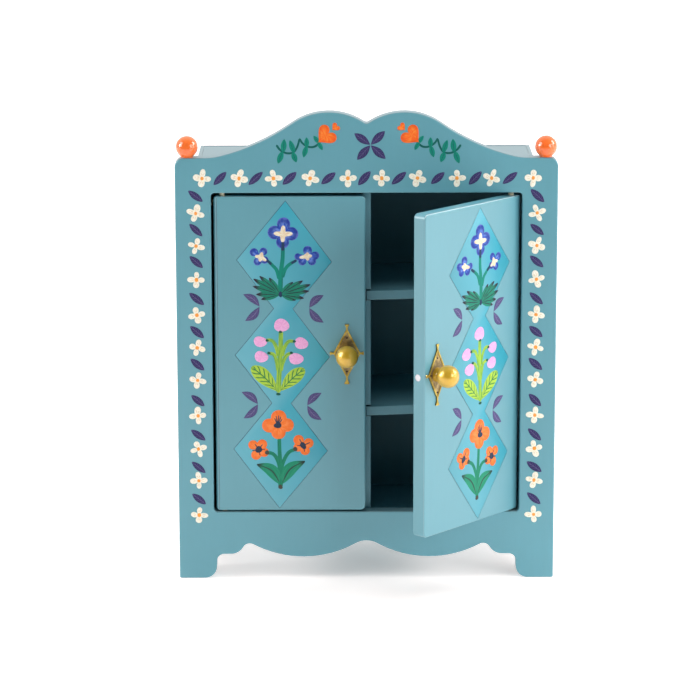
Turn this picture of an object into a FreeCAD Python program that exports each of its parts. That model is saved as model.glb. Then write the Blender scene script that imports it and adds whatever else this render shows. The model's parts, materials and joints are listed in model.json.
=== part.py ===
import FreeCAD, Part
import math
import os
from FreeCAD import Placement, Rotation, Vector

# A painted two-door toy wardrobe on a dolls house scale, in millimetres.
# X runs to the right, the front faces -Y and +Z is up. The origin is on the floor, in the
# plane of the front panel's face and half way between its sides. The left door is stored
# closed and the right door stored open.

# ---- front panel -----------------------------------------------------------------------
PANEL_WIDTH = 250.0
PANEL_THICKNESS = 9.5
SHOULDER_Z = 284.5
SHOULDER_RADIUS = 6.0
SHOULDER_FLAT_FROM_X = 105.0
HUMP_X = 24.65
HUMP_Z = 272.5
HUMP_RADIUS = 41.9
VALLEY_RADIUS = 3.0
OGEE_RADIUS = 140.0
SHOULDER_SWEEP_RADIUS = 38.5
OPENING_HALF_WIDTH = 101.65
OPENING_BOTTOM_Z = 46.0
OPENING_TOP_Z = 261.4
OPENING_CORNER_RADIUS = 2.5
PANEL_ARRIS = 0.8

# ---- apron and feet --------------------------------------------------------------------
APRON_PEAK_Z = 25.8
LOBE_X = 42.0
LOBE_LOW_Z = 14.65
LOBE_RADIUS = 70.0
SIDE_PEAK_X = 78.0
SIDE_PEAK_RADIUS = 5.0
STEP_X = 90.5
STEP_Z = 16.6
FOOT_INNER_X = 100.0
FOOT_NOTCH_RADIUS = 5.0
FOOT_TOE_RADIUS = 8.0
FOOT_CORNER_RADIUS = 1.2

# ---- carcass ---------------------------------------------------------------------------
BOARD = 6.0
CARCASS_HALF_WIDTH = 112.4
CARCASS_TOP_Z = 276.0
CARCASS_BACK_Y = 107.0
BACK_THICKNESS = 4.0
SIDE_LIP = 2.5
FLOOR_TOP_Z = 37.0
SIDE_FOOT_DEPTH = 20.0
SIDE_ARCH_Z = 24.0
BOARD_ARRIS = 0.5
FRONT_DOWEL_LEVELS = (30.0, 100.0, 170.0, 240.0)
FRONT_DOWEL_LENGTH = 16.0
FRONT_DOWEL_IN_PANEL = 5.0
FLOOR_DOWEL_PLACES_Y = (28.0, 56.0, 84.0)
FLOOR_DOWEL_LENGTH = 14.0
FLOOR_DOWEL_IN_FLOOR = 11.0
BACK_NAIL_LEVELS = (50.0, 105.0, 160.0, 215.0, 262.0)
BACK_NAIL_FROM_EDGE = 1.75
BACK_NAIL_X = 52.0
BACK_NAIL_RADIUS = 0.5
BACK_NAIL_LENGTH = 11.0
BACK_NAIL_HEAD_RADIUS = 1.1
BACK_NAIL_HEAD_DEPTH = 0.5

# ---- divider, shelves and rail -----------------------------------------------------------
DIVIDER_THICKNESS = 5.8
DIVIDER_FRONT_Y = 10.0
DADO_HEIGHT = 7.6
DADO_DEPTH = 3.2
SIDE_DADO_DEPTH = 2.5
SHELF_THICKNESS = 6.1
SHELF_LEFT_TOP_Z = {"upper": 194.2, "lower": 115.6}
SHELF_TILT_DEG = {"upper": 1.3, "lower": 2.2}
SHELF_PLAY_BELOW = 0.3
SHELF_PLAY_AT_END = 0.4
SHELF_PLAY_AT_BACK = 0.3
HINGE_RELIEF_FROM_X = 86.0
HINGE_RELIEF_DEPTH = 2.0
RAIL_RADIUS = 2.5
RAIL_Y = 56.0
RAIL_Z = 246.0
RAIL_SOCKET = 2.4

# ---- doors -----------------------------------------------------------------------------
DOOR_THICKNESS = 9.5
DOOR_GAP_AT_MEETING = 0.7
DOOR_GAP_AT_HINGE = 1.75
DOOR_BOTTOM_Z = 47.1
DOOR_TOP_Z = 259.0
DOOR_MEETING_CORNER = 3.2
DOOR_HINGE_CORNER = 2.2
DOOR_ARRIS = 0.9
DOOR_HINGE_EDGE_RADIUS = 3.0
RIGHT_DOOR_OPEN_DEG = 48.9
PIN_X = 94.4
PIN_RADIUS = 1.75
PIN_RUNNING_CLEARANCE = 0.08
PIN_IN_DOOR = 11.0
PIN_IN_PANEL = 7.0
PIN_END_CLEARANCE = 0.3

# ---- engraved chain of three diamonds --------------------------------------------------
DIAMOND_HALF_WIDTH = 31.3
DIAMOND_HALF_HEIGHT = 40.2
DIAMOND_PITCH = 63.9
DIAMOND_MIDDLE_Z = 152.4
DIAMOND_CENTRE_X = {"left": -55.4, "right": 56.4}
DIAMOND_LEAN_DEG = {"left": 1.35, "right": 0.0}
ENGRAVING_WIDTH = 0.45
ENGRAVING_DEPTH = 0.3

# ---- magnets, handles and finials --------------------------------------------------------
MAGNET_RADIUS = 2.2
MAGNET_LENGTH = 2.5
MAGNET_POCKET_CLEARANCE = 0.15
MAGNET_Y = 5.6
MAGNET_Z = 152.8
HANDLE_X = 12.9
HANDLE_Z = 154.3
PLATE_THICKNESS = 1.0
PLATE_HALF_WIDTH = 9.0
PLATE_HALF_HEIGHT = 16.8
PLATE_RIM = 1.0
PLATE_RECESS = 0.35
TAB_OVERLAP = 1.5
TAB_WAIST_AT = 0.35
TAB_BULGE = 0.25
# Nail places in the handle plate, from its middle: two above and below, two beside.
NAIL_PLACES = [(0.0, 10.4), (0.0, -12.2), (-6.6, 0.0), (6.6, 0.0)]
NAIL_HEAD_RADIUS = 0.65
NAIL_SHANK_RADIUS = 0.4
NAIL_LENGTH = 5.0
NAIL_HEAD_RISE = 0.2
KNOB_RADIUS = 7.4
KNOB_CENTRE_OUT = 9.3
KNOB_NECK_RADIUS = 4.3
KNOB_NECK_FLARE = 0.5
KNOB_NECK_IN_BALL = 0.4
KNOB_Z = 153.8
SCREW_RADIUS = 1.25
SCREW_HEAD_RADIUS = 2.6
SCREW_HEAD_DEPTH = 1.6
SCREW_TIP_Y = -5.3
SCREW_SLOT_WIDTH = 0.6
SCREW_SLOT_DEPTH = 0.6
FINIAL_X = 117.0
FINIAL_RADIUS = 7.2
FINIAL_CENTRE_ABOVE_SHOULDER = 6.6
FINIAL_FOOT_RADIUS = 4.1
FINIAL_DOWEL_RADIUS = 2.0
FINIAL_DOWEL_LENGTH = 16.0
FINIAL_DOWEL_IN_PANEL = 9.0
DOWEL_RADIUS = 1.5

UP = Vector(0, 0, 1)
RIGHT = Vector(1, 0, 0)
BACKWARD = Vector(0, 1, 0)
SIDES = {"left": -1, "right": 1}
# Tabs of the handle plate: direction, start, length, half width at the waist and at the end.
PLATE_TABS = [
    (UP, PLATE_HALF_HEIGHT, 2.5, 0.6, 1.45),
    (UP * -1, PLATE_HALF_HEIGHT, 3.8, 0.6, 1.75),
    (RIGHT, PLATE_HALF_WIDTH, 2.0, 0.6, 1.2),
    (RIGHT * -1, PLATE_HALF_WIDTH, 2.0, 0.6, 1.2),
]
PANEL_MID_Y = PANEL_THICKNESS / 2
SIDE_INNER_X = CARCASS_HALF_WIDTH - BOARD
TOP_UNDERSIDE_Z = CARCASS_TOP_Z - BOARD
BACK_INNER_Y = CARCASS_BACK_Y - BACK_THICKNESS


# ---- small helpers ---------------------------------------------------------------------
def box(x0, x1, y0, y1, z0, z1):
    return Part.makeBox(x1 - x0, y1 - y0, z1 - z0, Vector(x0, y0, z0))


def rod(radius, start, direction, length):
    return Part.makeCylinder(radius, length, start, direction)


def cut_all(solid, tools):
    result = solid.cut(Part.makeCompound(tools)) if tools else solid
    return result.Solids[0] if len(result.Solids) == 1 else result


def mirror_x(shape):
    return shape.mirror(Vector(0, 0, 0), RIGHT)


def at_side(shape, side):
    """A shape drawn on the right-hand side, or its mirror image for the left."""
    return shape if side == "right" else mirror_x(shape)


def flat_point(x, z, y=0.0):
    return Vector(x, y, z)


def arc(start, end, centre):
    """The shorter arc from start to end about centre, all in one plane of constant Y."""
    radius = (start - centre).Length
    middle = (start + end) * 0.5 - centre
    middle.normalize()
    return Part.Arc(start, centre + middle * radius, end).toShape()


def line(start, end):
    return Part.LineSegment(start, end).toShape()


def touch(centre_a, radius_a, centre_b, radius_b):
    """Where two tangent circles meet; a negative radius_b means that b lies inside a."""
    return centre_a + (centre_b - centre_a) * (radius_a / (radius_a + radius_b))


def circle_crossing(centre_a, reach_a, centre_b, reach_b):
    """The upper of the two points at both reaches from two centres, b being on the right."""
    gap = centre_b - centre_a
    distance = gap.Length
    along = (reach_a ** 2 - reach_b ** 2 + distance ** 2) / (2 * distance)
    across = math.sqrt(reach_a ** 2 - along ** 2)
    unit = gap * (1 / distance)
    normal = Vector(-unit.z, 0, unit.x)
    return centre_a + unit * along + normal * across


def fillet_where(solid, radius, wanted):
    """Rounds the edges for which wanted(edge) is true."""
    edges = [edge for edge in solid.Edges if wanted(edge)]
    return solid.makeFillet(radius, edges)


def edge_in_plane_y(edge, y):
    box_of_edge = edge.BoundBox
    return abs(box_of_edge.YMin - y) < 1e-6 and abs(box_of_edge.YMax - y) < 1e-6


def rounded_outline(x0, x1, z0, z1, left_radius, right_radius):
    """A closed rectangle at Y = 0 whose left and right corners have their own radii."""
    a, b = left_radius, right_radius
    edges = [
        line(flat_point(x0 + a, z0), flat_point(x1 - b, z0)),
        arc(flat_point(x1 - b, z0), flat_point(x1, z0 + b), flat_point(x1 - b, z0 + b)),
        line(flat_point(x1, z0 + b), flat_point(x1, z1 - b)),
        arc(flat_point(x1, z1 - b), flat_point(x1 - b, z1), flat_point(x1 - b, z1 - b)),
        line(flat_point(x1 - b, z1), flat_point(x0 + a, z1)),
        arc(flat_point(x0 + a, z1), flat_point(x0, z1 - a), flat_point(x0 + a, z1 - a)),
        line(flat_point(x0, z1 - a), flat_point(x0, z0 + a)),
        arc(flat_point(x0, z0 + a), flat_point(x0 + a, z0), flat_point(x0 + a, z0 + a)),
    ]
    return Part.Wire(edges)


def plate_from(wire, y, thickness):
    face = Part.Face(wire)
    face.translate(Vector(0, y, 0))
    return face.extrude(Vector(0, thickness, 0))


# ---- front panel -----------------------------------------------------------------------
def crest_edges():
    """Right half of the crest: valley, hump, ogee, sweep into the flat shoulder."""
    hump = flat_point(HUMP_X, HUMP_Z)
    valley_reach = HUMP_RADIUS + VALLEY_RADIUS
    valley = flat_point(0, HUMP_Z + math.sqrt(valley_reach ** 2 - HUMP_X ** 2))
    sweep = flat_point(SHOULDER_FLAT_FROM_X, SHOULDER_Z + SHOULDER_SWEEP_RADIUS)
    ogee = circle_crossing(
        hump, HUMP_RADIUS + OGEE_RADIUS, sweep, OGEE_RADIUS - SHOULDER_SWEEP_RADIUS)
    corner = flat_point(PANEL_WIDTH / 2 - SHOULDER_RADIUS, SHOULDER_Z - SHOULDER_RADIUS)
    start = valley - UP * VALLEY_RADIUS
    valley_to_hump = touch(valley, VALLEY_RADIUS, hump, HUMP_RADIUS)
    hump_to_ogee = touch(hump, HUMP_RADIUS, ogee, OGEE_RADIUS)
    ogee_to_sweep = touch(ogee, OGEE_RADIUS, sweep, -SHOULDER_SWEEP_RADIUS)
    flat_start = flat_point(SHOULDER_FLAT_FROM_X, SHOULDER_Z)
    corner_top = corner + UP * SHOULDER_RADIUS
    corner_side = corner + RIGHT * SHOULDER_RADIUS
    return [
        arc(start, valley_to_hump, valley),
        arc(valley_to_hump, hump_to_ogee, hump),
        arc(hump_to_ogee, ogee_to_sweep, ogee),
        arc(ogee_to_sweep, flat_start, sweep),
        line(flat_start, corner_top),
        arc(corner_top, corner_side, corner),
    ], corner_side


def apron_edges():
    """Right half of the apron, from the foot's outer corner to the middle arch."""
    outer = PANEL_WIDTH / 2
    foot_corner = flat_point(outer - FOOT_CORNER_RADIUS, FOOT_CORNER_RADIUS)
    toe = flat_point(FOOT_INNER_X + FOOT_TOE_RADIUS, FOOT_TOE_RADIUS)
    notch = flat_point(FOOT_INNER_X - FOOT_NOTCH_RADIUS, STEP_Z - FOOT_NOTCH_RADIUS)
    lobe = flat_point(LOBE_X, LOBE_LOW_Z + LOBE_RADIUS)
    side_reach = LOBE_RADIUS + SIDE_PEAK_RADIUS
    side_drop = math.sqrt(side_reach ** 2 - (SIDE_PEAK_X - LOBE_X) ** 2)
    side_peak = flat_point(SIDE_PEAK_X, lobe.z - side_drop)
    run = STEP_X - SIDE_PEAK_X
    rise = STEP_Z - side_peak.z
    step_radius = (run ** 2 + rise ** 2 - SIDE_PEAK_RADIUS ** 2) / (2 * (SIDE_PEAK_RADIUS - rise))
    step = flat_point(STEP_X, STEP_Z + step_radius)
    drop = lobe.z - APRON_PEAK_Z
    arch_radius = (LOBE_X ** 2 + drop ** 2 - LOBE_RADIUS ** 2) / (2 * (LOBE_RADIUS - drop))
    arch = flat_point(0, APRON_PEAK_Z - arch_radius)
    points = [
        flat_point(outer, FOOT_CORNER_RADIUS),
        flat_point(outer - FOOT_CORNER_RADIUS, 0),
        flat_point(toe.x, 0),
        flat_point(FOOT_INNER_X, toe.z),
        flat_point(FOOT_INNER_X, notch.z),
        flat_point(notch.x, STEP_Z),
        flat_point(STEP_X, STEP_Z),
        touch(step, step_radius, side_peak, SIDE_PEAK_RADIUS),
        touch(side_peak, SIDE_PEAK_RADIUS, lobe, LOBE_RADIUS),
        touch(lobe, LOBE_RADIUS, arch, arch_radius),
        flat_point(0, APRON_PEAK_Z),
    ]
    centres = [foot_corner, None, toe, None, notch, None, step, side_peak, lobe, arch]
    edges = []
    for start, end, centre in zip(points, points[1:], centres):
        edges.append(line(start, end) if centre is None else arc(start, end, centre))
    return edges, points[0]


def front_panel():
    crest, side_top = crest_edges()
    apron, side_bottom = apron_edges()
    half = crest + [line(side_top, side_bottom)] + apron
    whole = half + [mirror_x(edge) for edge in half]
    outline = Part.Wire(Part.__sortEdges__(whole))
    panel = plate_from(outline, 0, PANEL_THICKNESS)
    opening = rounded_outline(
        -OPENING_HALF_WIDTH, OPENING_HALF_WIDTH, OPENING_BOTTOM_Z, OPENING_TOP_Z,
        OPENING_CORNER_RADIUS, OPENING_CORNER_RADIUS)
    panel = panel.cut(plate_from(opening, -1, PANEL_THICKNESS + 2))
    panel = fillet_where(panel, PANEL_ARRIS, lambda edge: edge_in_plane_y(edge, 0))
    holes = front_dowels() + [finial_dowel(side) for side in SIDES]
    for side in SIDES:
        for end in ("top", "bottom"):
            holes.append(hinge_pin(side, end, PIN_RUNNING_CLEARANCE))
    return cut_all(panel, holes)


# ---- carcass ---------------------------------------------------------------------------
def side_panel(side):
    """Drawn for the right: feet at both ends, rebates for top and back, shelf dadoes."""
    inner, outer = SIDE_INNER_X, CARCASS_HALF_WIDTH
    panel = box(inner, outer, PANEL_THICKNESS, CARCASS_BACK_Y, 0, CARCASS_TOP_Z)
    arch_start = PANEL_THICKNESS + SIDE_FOOT_DEPTH
    arch_end = CARCASS_BACK_Y - SIDE_FOOT_DEPTH
    arch = box(inner - 1, outer + 1, arch_start, arch_end, -FOOT_NOTCH_RADIUS, SIDE_ARCH_Z)
    arch = fillet_where(
        arch, FOOT_NOTCH_RADIUS,
        lambda edge: edge.BoundBox.XLength > BOARD and edge.BoundBox.ZMin > 0)
    lip_x = outer - SIDE_LIP
    top_rebate = box(inner - 1, lip_x, 0, BACK_INNER_Y, TOP_UNDERSIDE_Z, CARCASS_TOP_Z + 1)
    back_rebate = box(inner - 1, lip_x, BACK_INNER_Y, CARCASS_BACK_Y + 1,
                      FLOOR_TOP_Z - BOARD, CARCASS_TOP_Z + 1)
    panel = panel.cut(arch)
    panel = fillet_where(
        panel, BOARD_ARRIS,
        lambda edge: abs(edge.CenterOfMass.x - outer) < 1e-6
        and not edge_in_plane_y(edge, PANEL_THICKNESS))
    panel = panel.cut(top_rebate).cut(back_rebate)
    tools = []
    if side == "right":
        tools += [side_dado(level) for level in SHELF_TILT_DEG]
    else:
        tools.append(mirror_x(hanging_rail()))
    tools += [at_side(tool, side) for tool in front_dowels() + floor_dowels() + back_nails()]
    return at_side(cut_all(panel, tools), side)


def top_panel():
    half_width = CARCASS_HALF_WIDTH - SIDE_LIP
    panel = box(-half_width, half_width, PANEL_THICKNESS, BACK_INNER_Y,
                TOP_UNDERSIDE_Z, CARCASS_TOP_Z)
    panel = fillet_where(
        panel, BOARD_ARRIS,
        lambda edge: edge.BoundBox.ZMin > CARCASS_TOP_Z - 1e-6
        and not edge_in_plane_y(edge, PANEL_THICKNESS))
    return cut_all(panel, back_nails())


def floor_panel():
    panel = box(-SIDE_INNER_X, SIDE_INNER_X, PANEL_THICKNESS, BACK_INNER_Y,
                FLOOR_TOP_Z - BOARD, FLOOR_TOP_Z)
    return cut_all(panel, floor_dowels() + back_nails())


def back_panel():
    half_width = CARCASS_HALF_WIDTH - SIDE_LIP
    panel = box(-half_width, half_width, BACK_INNER_Y, CARCASS_BACK_Y,
                FLOOR_TOP_Z - BOARD, CARCASS_TOP_Z)
    panel = fillet_where(
        panel, BOARD_ARRIS,
        lambda edge: edge_in_plane_y(edge, CARCASS_BACK_Y)
        and edge.BoundBox.ZMin > CARCASS_TOP_Z - 1e-6)
    return cut_all(panel, back_nails())


def front_dowels():
    """Dowels that hold the front panel to the front edges of the two sides."""
    x = CARCASS_HALF_WIDTH - BOARD / 2
    y = PANEL_THICKNESS - FRONT_DOWEL_IN_PANEL
    dowels = []
    for z in FRONT_DOWEL_LEVELS:
        for sign in SIDES.values():
            start = Vector(sign * x, y, z)
            dowels.append(rod(DOWEL_RADIUS, start, BACKWARD, FRONT_DOWEL_LENGTH))
    return dowels


def floor_dowels():
    """Dowels that hold the floor between the sides."""
    x = SIDE_INNER_X - FLOOR_DOWEL_IN_FLOOR
    dowels = []
    for y in FLOOR_DOWEL_PLACES_Y:
        for sign in SIDES.values():
            start = Vector(sign * x, y, FLOOR_TOP_Z - BOARD / 2)
            dowels.append(rod(DOWEL_RADIUS, start, RIGHT * sign, FLOOR_DOWEL_LENGTH))
    return dowels


def back_nails():
    """Panel pins driven through the back into the sides, the top and the floor."""
    side_x = CARCASS_HALF_WIDTH - SIDE_LIP - BACK_NAIL_FROM_EDGE
    board_levels = (FLOOR_TOP_Z - BOARD / 2, CARCASS_TOP_Z - BOARD / 2)
    places = []
    for sign in SIDES.values():
        places += [(sign * side_x, z) for z in BACK_NAIL_LEVELS]
        places += [(sign * BACK_NAIL_X, z) for z in board_levels]
    nails = []
    for x, z in places:
        tip = Vector(x, CARCASS_BACK_Y - BACK_NAIL_LENGTH, z)
        under_head = Vector(x, CARCASS_BACK_Y - BACK_NAIL_HEAD_DEPTH, z)
        shank = rod(BACK_NAIL_RADIUS, tip, BACKWARD, BACK_NAIL_LENGTH)
        head = rod(BACK_NAIL_HEAD_RADIUS, under_head, BACKWARD, BACK_NAIL_HEAD_DEPTH)
        nails.append(shank.fuse(head).removeSplitter().Solids[0])
    return nails


# ---- divider, shelves and rail -----------------------------------------------------------
def shelf_frame(level):
    """Where a shelf lies: its left end sits in the divider, its right end slightly higher."""
    corner = Vector(DIVIDER_THICKNESS / 2, 0, SHELF_LEFT_TOP_Z[level] - SHELF_THICKNESS)
    return Placement(corner, Rotation(Vector(0, -1, 0), SHELF_TILT_DEG[level]))


def shelf(level):
    reach = SIDE_INNER_X + SIDE_DADO_DEPTH - DIVIDER_THICKNESS / 2 - SHELF_PLAY_AT_END
    tail = DADO_DEPTH - SHELF_PLAY_AT_END
    board = box(-tail, reach, DIVIDER_FRONT_Y, BACK_INNER_Y - SHELF_PLAY_AT_BACK,
                0, SHELF_THICKNESS)
    relief_from = HINGE_RELIEF_FROM_X - DIVIDER_THICKNESS / 2
    relief = box(relief_from, reach + 1, 0, DIVIDER_FRONT_Y + HINGE_RELIEF_DEPTH,
                 -1, SHELF_THICKNESS + 1)
    board = fillet_where(board, BOARD_ARRIS, lambda edge: edge_in_plane_y(edge, DIVIDER_FRONT_Y))
    board = board.cut(relief).Solids[0]
    board.Placement = shelf_frame(level)
    return board


def divider_dado(level):
    x = DIVIDER_THICKNESS / 2
    low = SHELF_LEFT_TOP_Z[level] - SHELF_THICKNESS - SHELF_PLAY_BELOW
    return box(x - DADO_DEPTH, x + 1, 0, BACK_INNER_Y, low, low + DADO_HEIGHT)


def side_dado(level):
    """The matching groove in the right side, as much higher as the shelf's tilt lifts it."""
    rise = (SIDE_INNER_X - DIVIDER_THICKNESS / 2) * math.tan(math.radians(SHELF_TILT_DEG[level]))
    low = SHELF_LEFT_TOP_Z[level] - SHELF_THICKNESS - SHELF_PLAY_BELOW + rise
    return box(SIDE_INNER_X - 1, SIDE_INNER_X + SIDE_DADO_DEPTH, 0, BACK_INNER_Y,
               low, low + DADO_HEIGHT)


def divider():
    half = DIVIDER_THICKNESS / 2
    board = box(-half, half, DIVIDER_FRONT_Y, BACK_INNER_Y, FLOOR_TOP_Z, TOP_UNDERSIDE_Z)
    board = fillet_where(board, BOARD_ARRIS,
                         lambda edge: edge_in_plane_y(edge, DIVIDER_FRONT_Y)
                         and edge.BoundBox.ZLength > BOARD)
    return cut_all(board, [divider_dado(level) for level in SHELF_TILT_DEG] + [hanging_rail()])


def hanging_rail():
    """The round rail of the left compartment, let into the left side and the divider."""
    start = -SIDE_INNER_X - RAIL_SOCKET
    end = -DIVIDER_THICKNESS / 2 + RAIL_SOCKET
    return rod(RAIL_RADIUS, Vector(start, RAIL_Y, RAIL_Z), RIGHT, end - start)


# ---- doors: everything is drawn closed, on its own side ----------------------------------
def door_pose(side):
    """The turn from closed to the stored pose, about the door's pins."""
    angle = RIGHT_DOOR_OPEN_DEG if side == "right" else 0.0
    return Placement(Vector(), Rotation(UP, angle), Vector(PIN_X, DOOR_THICKNESS / 2, 0))


def posed(shape, side):
    turned = shape.copy()
    turned.Placement = door_pose(side).multiply(turned.Placement)
    return turned


def door_blank():
    hinge_x = OPENING_HALF_WIDTH - DOOR_GAP_AT_HINGE
    outline = rounded_outline(DOOR_GAP_AT_MEETING, hinge_x, DOOR_BOTTOM_Z, DOOR_TOP_Z,
                              DOOR_MEETING_CORNER, DOOR_HINGE_CORNER)
    blank = plate_from(outline, 0, DOOR_THICKNESS)
    keep = box(DOOR_GAP_AT_MEETING, hinge_x, 0, DOOR_THICKNESS, DOOR_BOTTOM_Z, DOOR_TOP_Z)
    keep = fillet_where(
        keep, DOOR_HINGE_EDGE_RADIUS,
        lambda edge: edge.BoundBox.XMin > hinge_x - 1e-6 and edge.BoundBox.ZLength > BOARD)
    blank = blank.common(keep).Solids[0]
    not_hinge = hinge_x - DOOR_HINGE_EDGE_RADIUS - 1e-3
    return fillet_where(
        blank, DOOR_ARRIS,
        lambda edge: (edge_in_plane_y(edge, 0) or edge_in_plane_y(edge, DOOR_THICKNESS))
        and edge.BoundBox.XMin < not_hinge)


def diamond_chain(side, grow):
    """The joined outline of three overlapping diamonds, grown outwards by grow."""
    slope = math.hypot(DIAMOND_HALF_WIDTH, DIAMOND_HALF_HEIGHT)
    wide = DIAMOND_HALF_WIDTH + grow * slope / DIAMOND_HALF_HEIGHT
    tall = DIAMOND_HALF_HEIGHT + grow * slope / DIAMOND_HALF_WIDTH
    chain = None
    for row in (-1, 0, 1):
        z = row * DIAMOND_PITCH
        corners = [flat_point(0, z - tall), flat_point(wide, z), flat_point(0, z + tall),
                   flat_point(-wide, z), flat_point(0, z - tall)]
        diamond = plate_from(Part.makePolygon(corners), -1, 1 + ENGRAVING_DEPTH)
        chain = diamond if chain is None else chain.fuse(diamond)
    chain = chain.removeSplitter()
    chain.Placement = Placement(
        flat_point(DIAMOND_CENTRE_X[side], DIAMOND_MIDDLE_Z),
        Rotation(BACKWARD, DIAMOND_LEAN_DEG[side]))
    return chain


def engraving(side):
    groove = diamond_chain(side, 0).cut(diamond_chain(side, -ENGRAVING_WIDTH))
    return groove.Solids[0]


def door(side):
    holes = [handle_nail(place) for place in NAIL_PLACES] + [knob_screw()]
    holes.append(rod(MAGNET_RADIUS + MAGNET_POCKET_CLEARANCE,
                     Vector(DOOR_GAP_AT_MEETING, MAGNET_Y, MAGNET_Z), RIGHT, MAGNET_LENGTH))
    holes += [hinge_pin("right", end, 0) for end in ("top", "bottom")]
    leaf = at_side(cut_all(door_blank(), holes), side)
    return posed(leaf.cut(engraving(side)).Solids[0], side)


def hinge_pin(side, end, clearance):
    """A wooden pin glued into the door; with clearance, the hole that it turns in."""
    y = DOOR_THICKNESS / 2
    spare = PIN_END_CLEARANCE if clearance else 0
    if end == "top":
        start = DOOR_TOP_Z - PIN_IN_DOOR
        stop = OPENING_TOP_Z + PIN_IN_PANEL + spare
    else:
        start = OPENING_BOTTOM_Z - PIN_IN_PANEL - spare
        stop = DOOR_BOTTOM_Z + PIN_IN_DOOR
    pin = rod(PIN_RADIUS + clearance, Vector(PIN_X, y, start), UP, stop - start)
    return at_side(pin, side)


def magnet(side):
    disc = rod(MAGNET_RADIUS, Vector(DOOR_GAP_AT_MEETING + 0.1, MAGNET_Y, MAGNET_Z), RIGHT,
               MAGNET_LENGTH - 0.1)
    return posed(at_side(disc, side), side)


def handle_nail(place):
    """A small round-headed nail, its head seated in the plate's recess."""
    x, z = HANDLE_X + place[0], HANDLE_Z + place[1]
    seat_y = -PLATE_THICKNESS + PLATE_RECESS
    head = Part.makeSphere(NAIL_HEAD_RADIUS, Vector(x, seat_y + NAIL_HEAD_RISE, z))
    head = head.common(box(x - 2, x + 2, seat_y - 2, seat_y, z - 2, z + 2))
    shank = rod(NAIL_SHANK_RADIUS, Vector(x, seat_y - NAIL_HEAD_RISE / 2, z), BACKWARD, NAIL_LENGTH)
    return head.fuse(shank).removeSplitter().Solids[0]


def plate_outline(half_width, half_height):
    """A lozenge about the origin, for the handle plate and its recess."""
    corners = [flat_point(0, -half_height), flat_point(half_width, 0),
               flat_point(0, half_height), flat_point(-half_width, 0), flat_point(0, -half_height)]
    return Part.makePolygon(corners)


def plate_tab(direction, start, length, neck, flare):
    """A flared tab that leaves the lozenge along direction, wider at its end."""
    across = Vector(-direction.z, 0, direction.x)
    base = direction * (start - TAB_OVERLAP)
    waist = direction * (start + length * TAB_WAIST_AT)
    tip = direction * (start + length)
    bulge = direction * (start + length + TAB_BULGE)
    edges = [
        line(base - across * neck, waist - across * neck),
        line(waist - across * neck, tip - across * flare),
        Part.Arc(tip - across * flare, bulge, tip + across * flare).toShape(),
        line(tip + across * flare, waist + across * neck),
        line(waist + across * neck, base + across * neck),
        line(base + across * neck, base - across * neck),
    ]
    return Part.Wire(edges)


def handle_plate(side):
    slope = math.hypot(PLATE_HALF_WIDTH, PLATE_HALF_HEIGHT)
    plate = plate_from(plate_outline(PLATE_HALF_WIDTH, PLATE_HALF_HEIGHT), 0, PLATE_THICKNESS)
    for direction, start, length, neck, flare in PLATE_TABS:
        tab = plate_tab(direction, start, length, neck, flare)
        plate = plate.fuse(plate_from(tab, 0, PLATE_THICKNESS))
    plate = plate.removeSplitter()
    inner_width = PLATE_HALF_WIDTH - PLATE_RIM * slope / PLATE_HALF_HEIGHT
    inner_height = PLATE_HALF_HEIGHT - PLATE_RIM * slope / PLATE_HALF_WIDTH
    recess = plate_from(plate_outline(inner_width, inner_height), 0, PLATE_RECESS)
    plate = plate.cut(recess)
    plate.translate(Vector(HANDLE_X, -PLATE_THICKNESS, HANDLE_Z))
    nails = [handle_nail(place) for place in NAIL_PLACES]
    return posed(at_side(cut_all(plate, nails + [knob_screw(), knob_body()]), side), side)


def handle_nails(side):
    nails = [posed(at_side(handle_nail(place), side), side) for place in NAIL_PLACES]
    return Part.makeCompound(nails)


def knob_body():
    """A ball on a short flared neck that stands on the plate."""
    reach = KNOB_CENTRE_OUT - math.sqrt(KNOB_RADIUS ** 2 - KNOB_NECK_RADIUS ** 2)
    seat = PLATE_THICKNESS - PLATE_RECESS
    ball = Part.makeSphere(KNOB_RADIUS, Vector(HANDLE_X, -KNOB_CENTRE_OUT, KNOB_Z))
    neck = Part.makeCone(KNOB_NECK_RADIUS + KNOB_NECK_FLARE, KNOB_NECK_RADIUS,
                         reach - seat + KNOB_NECK_IN_BALL,
                         Vector(HANDLE_X, -seat, KNOB_Z), BACKWARD * -1)
    return ball.fuse(neck).removeSplitter().Solids[0]


def knob(side):
    return posed(at_side(cut_all(knob_body(), [knob_screw()]), side), side)


def knob_screw():
    """A countersunk screw driven from the inside of the door into the knob."""
    tip = Vector(HANDLE_X, SCREW_TIP_Y, KNOB_Z)
    shank = rod(SCREW_RADIUS, tip, BACKWARD, DOOR_THICKNESS - SCREW_TIP_Y)
    head = Part.makeCone(SCREW_HEAD_RADIUS, SCREW_RADIUS, SCREW_HEAD_DEPTH,
                         Vector(HANDLE_X, DOOR_THICKNESS, KNOB_Z), BACKWARD * -1)
    return shank.fuse(head).removeSplitter().Solids[0]


def slotted_screw(side):
    slot = box(HANDLE_X - SCREW_HEAD_RADIUS, HANDLE_X + SCREW_HEAD_RADIUS,
               DOOR_THICKNESS - SCREW_SLOT_DEPTH, DOOR_THICKNESS + 1,
               KNOB_Z - SCREW_SLOT_WIDTH / 2, KNOB_Z + SCREW_SLOT_WIDTH / 2)
    return posed(at_side(knob_screw().cut(slot).Solids[0], side), side)


# ---- finials ---------------------------------------------------------------------------
def finial_dowel(side):
    start = Vector(SIDES[side] * FINIAL_X, PANEL_MID_Y, SHOULDER_Z - FINIAL_DOWEL_IN_PANEL)
    return rod(FINIAL_DOWEL_RADIUS, start, UP, FINIAL_DOWEL_LENGTH)


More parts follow.
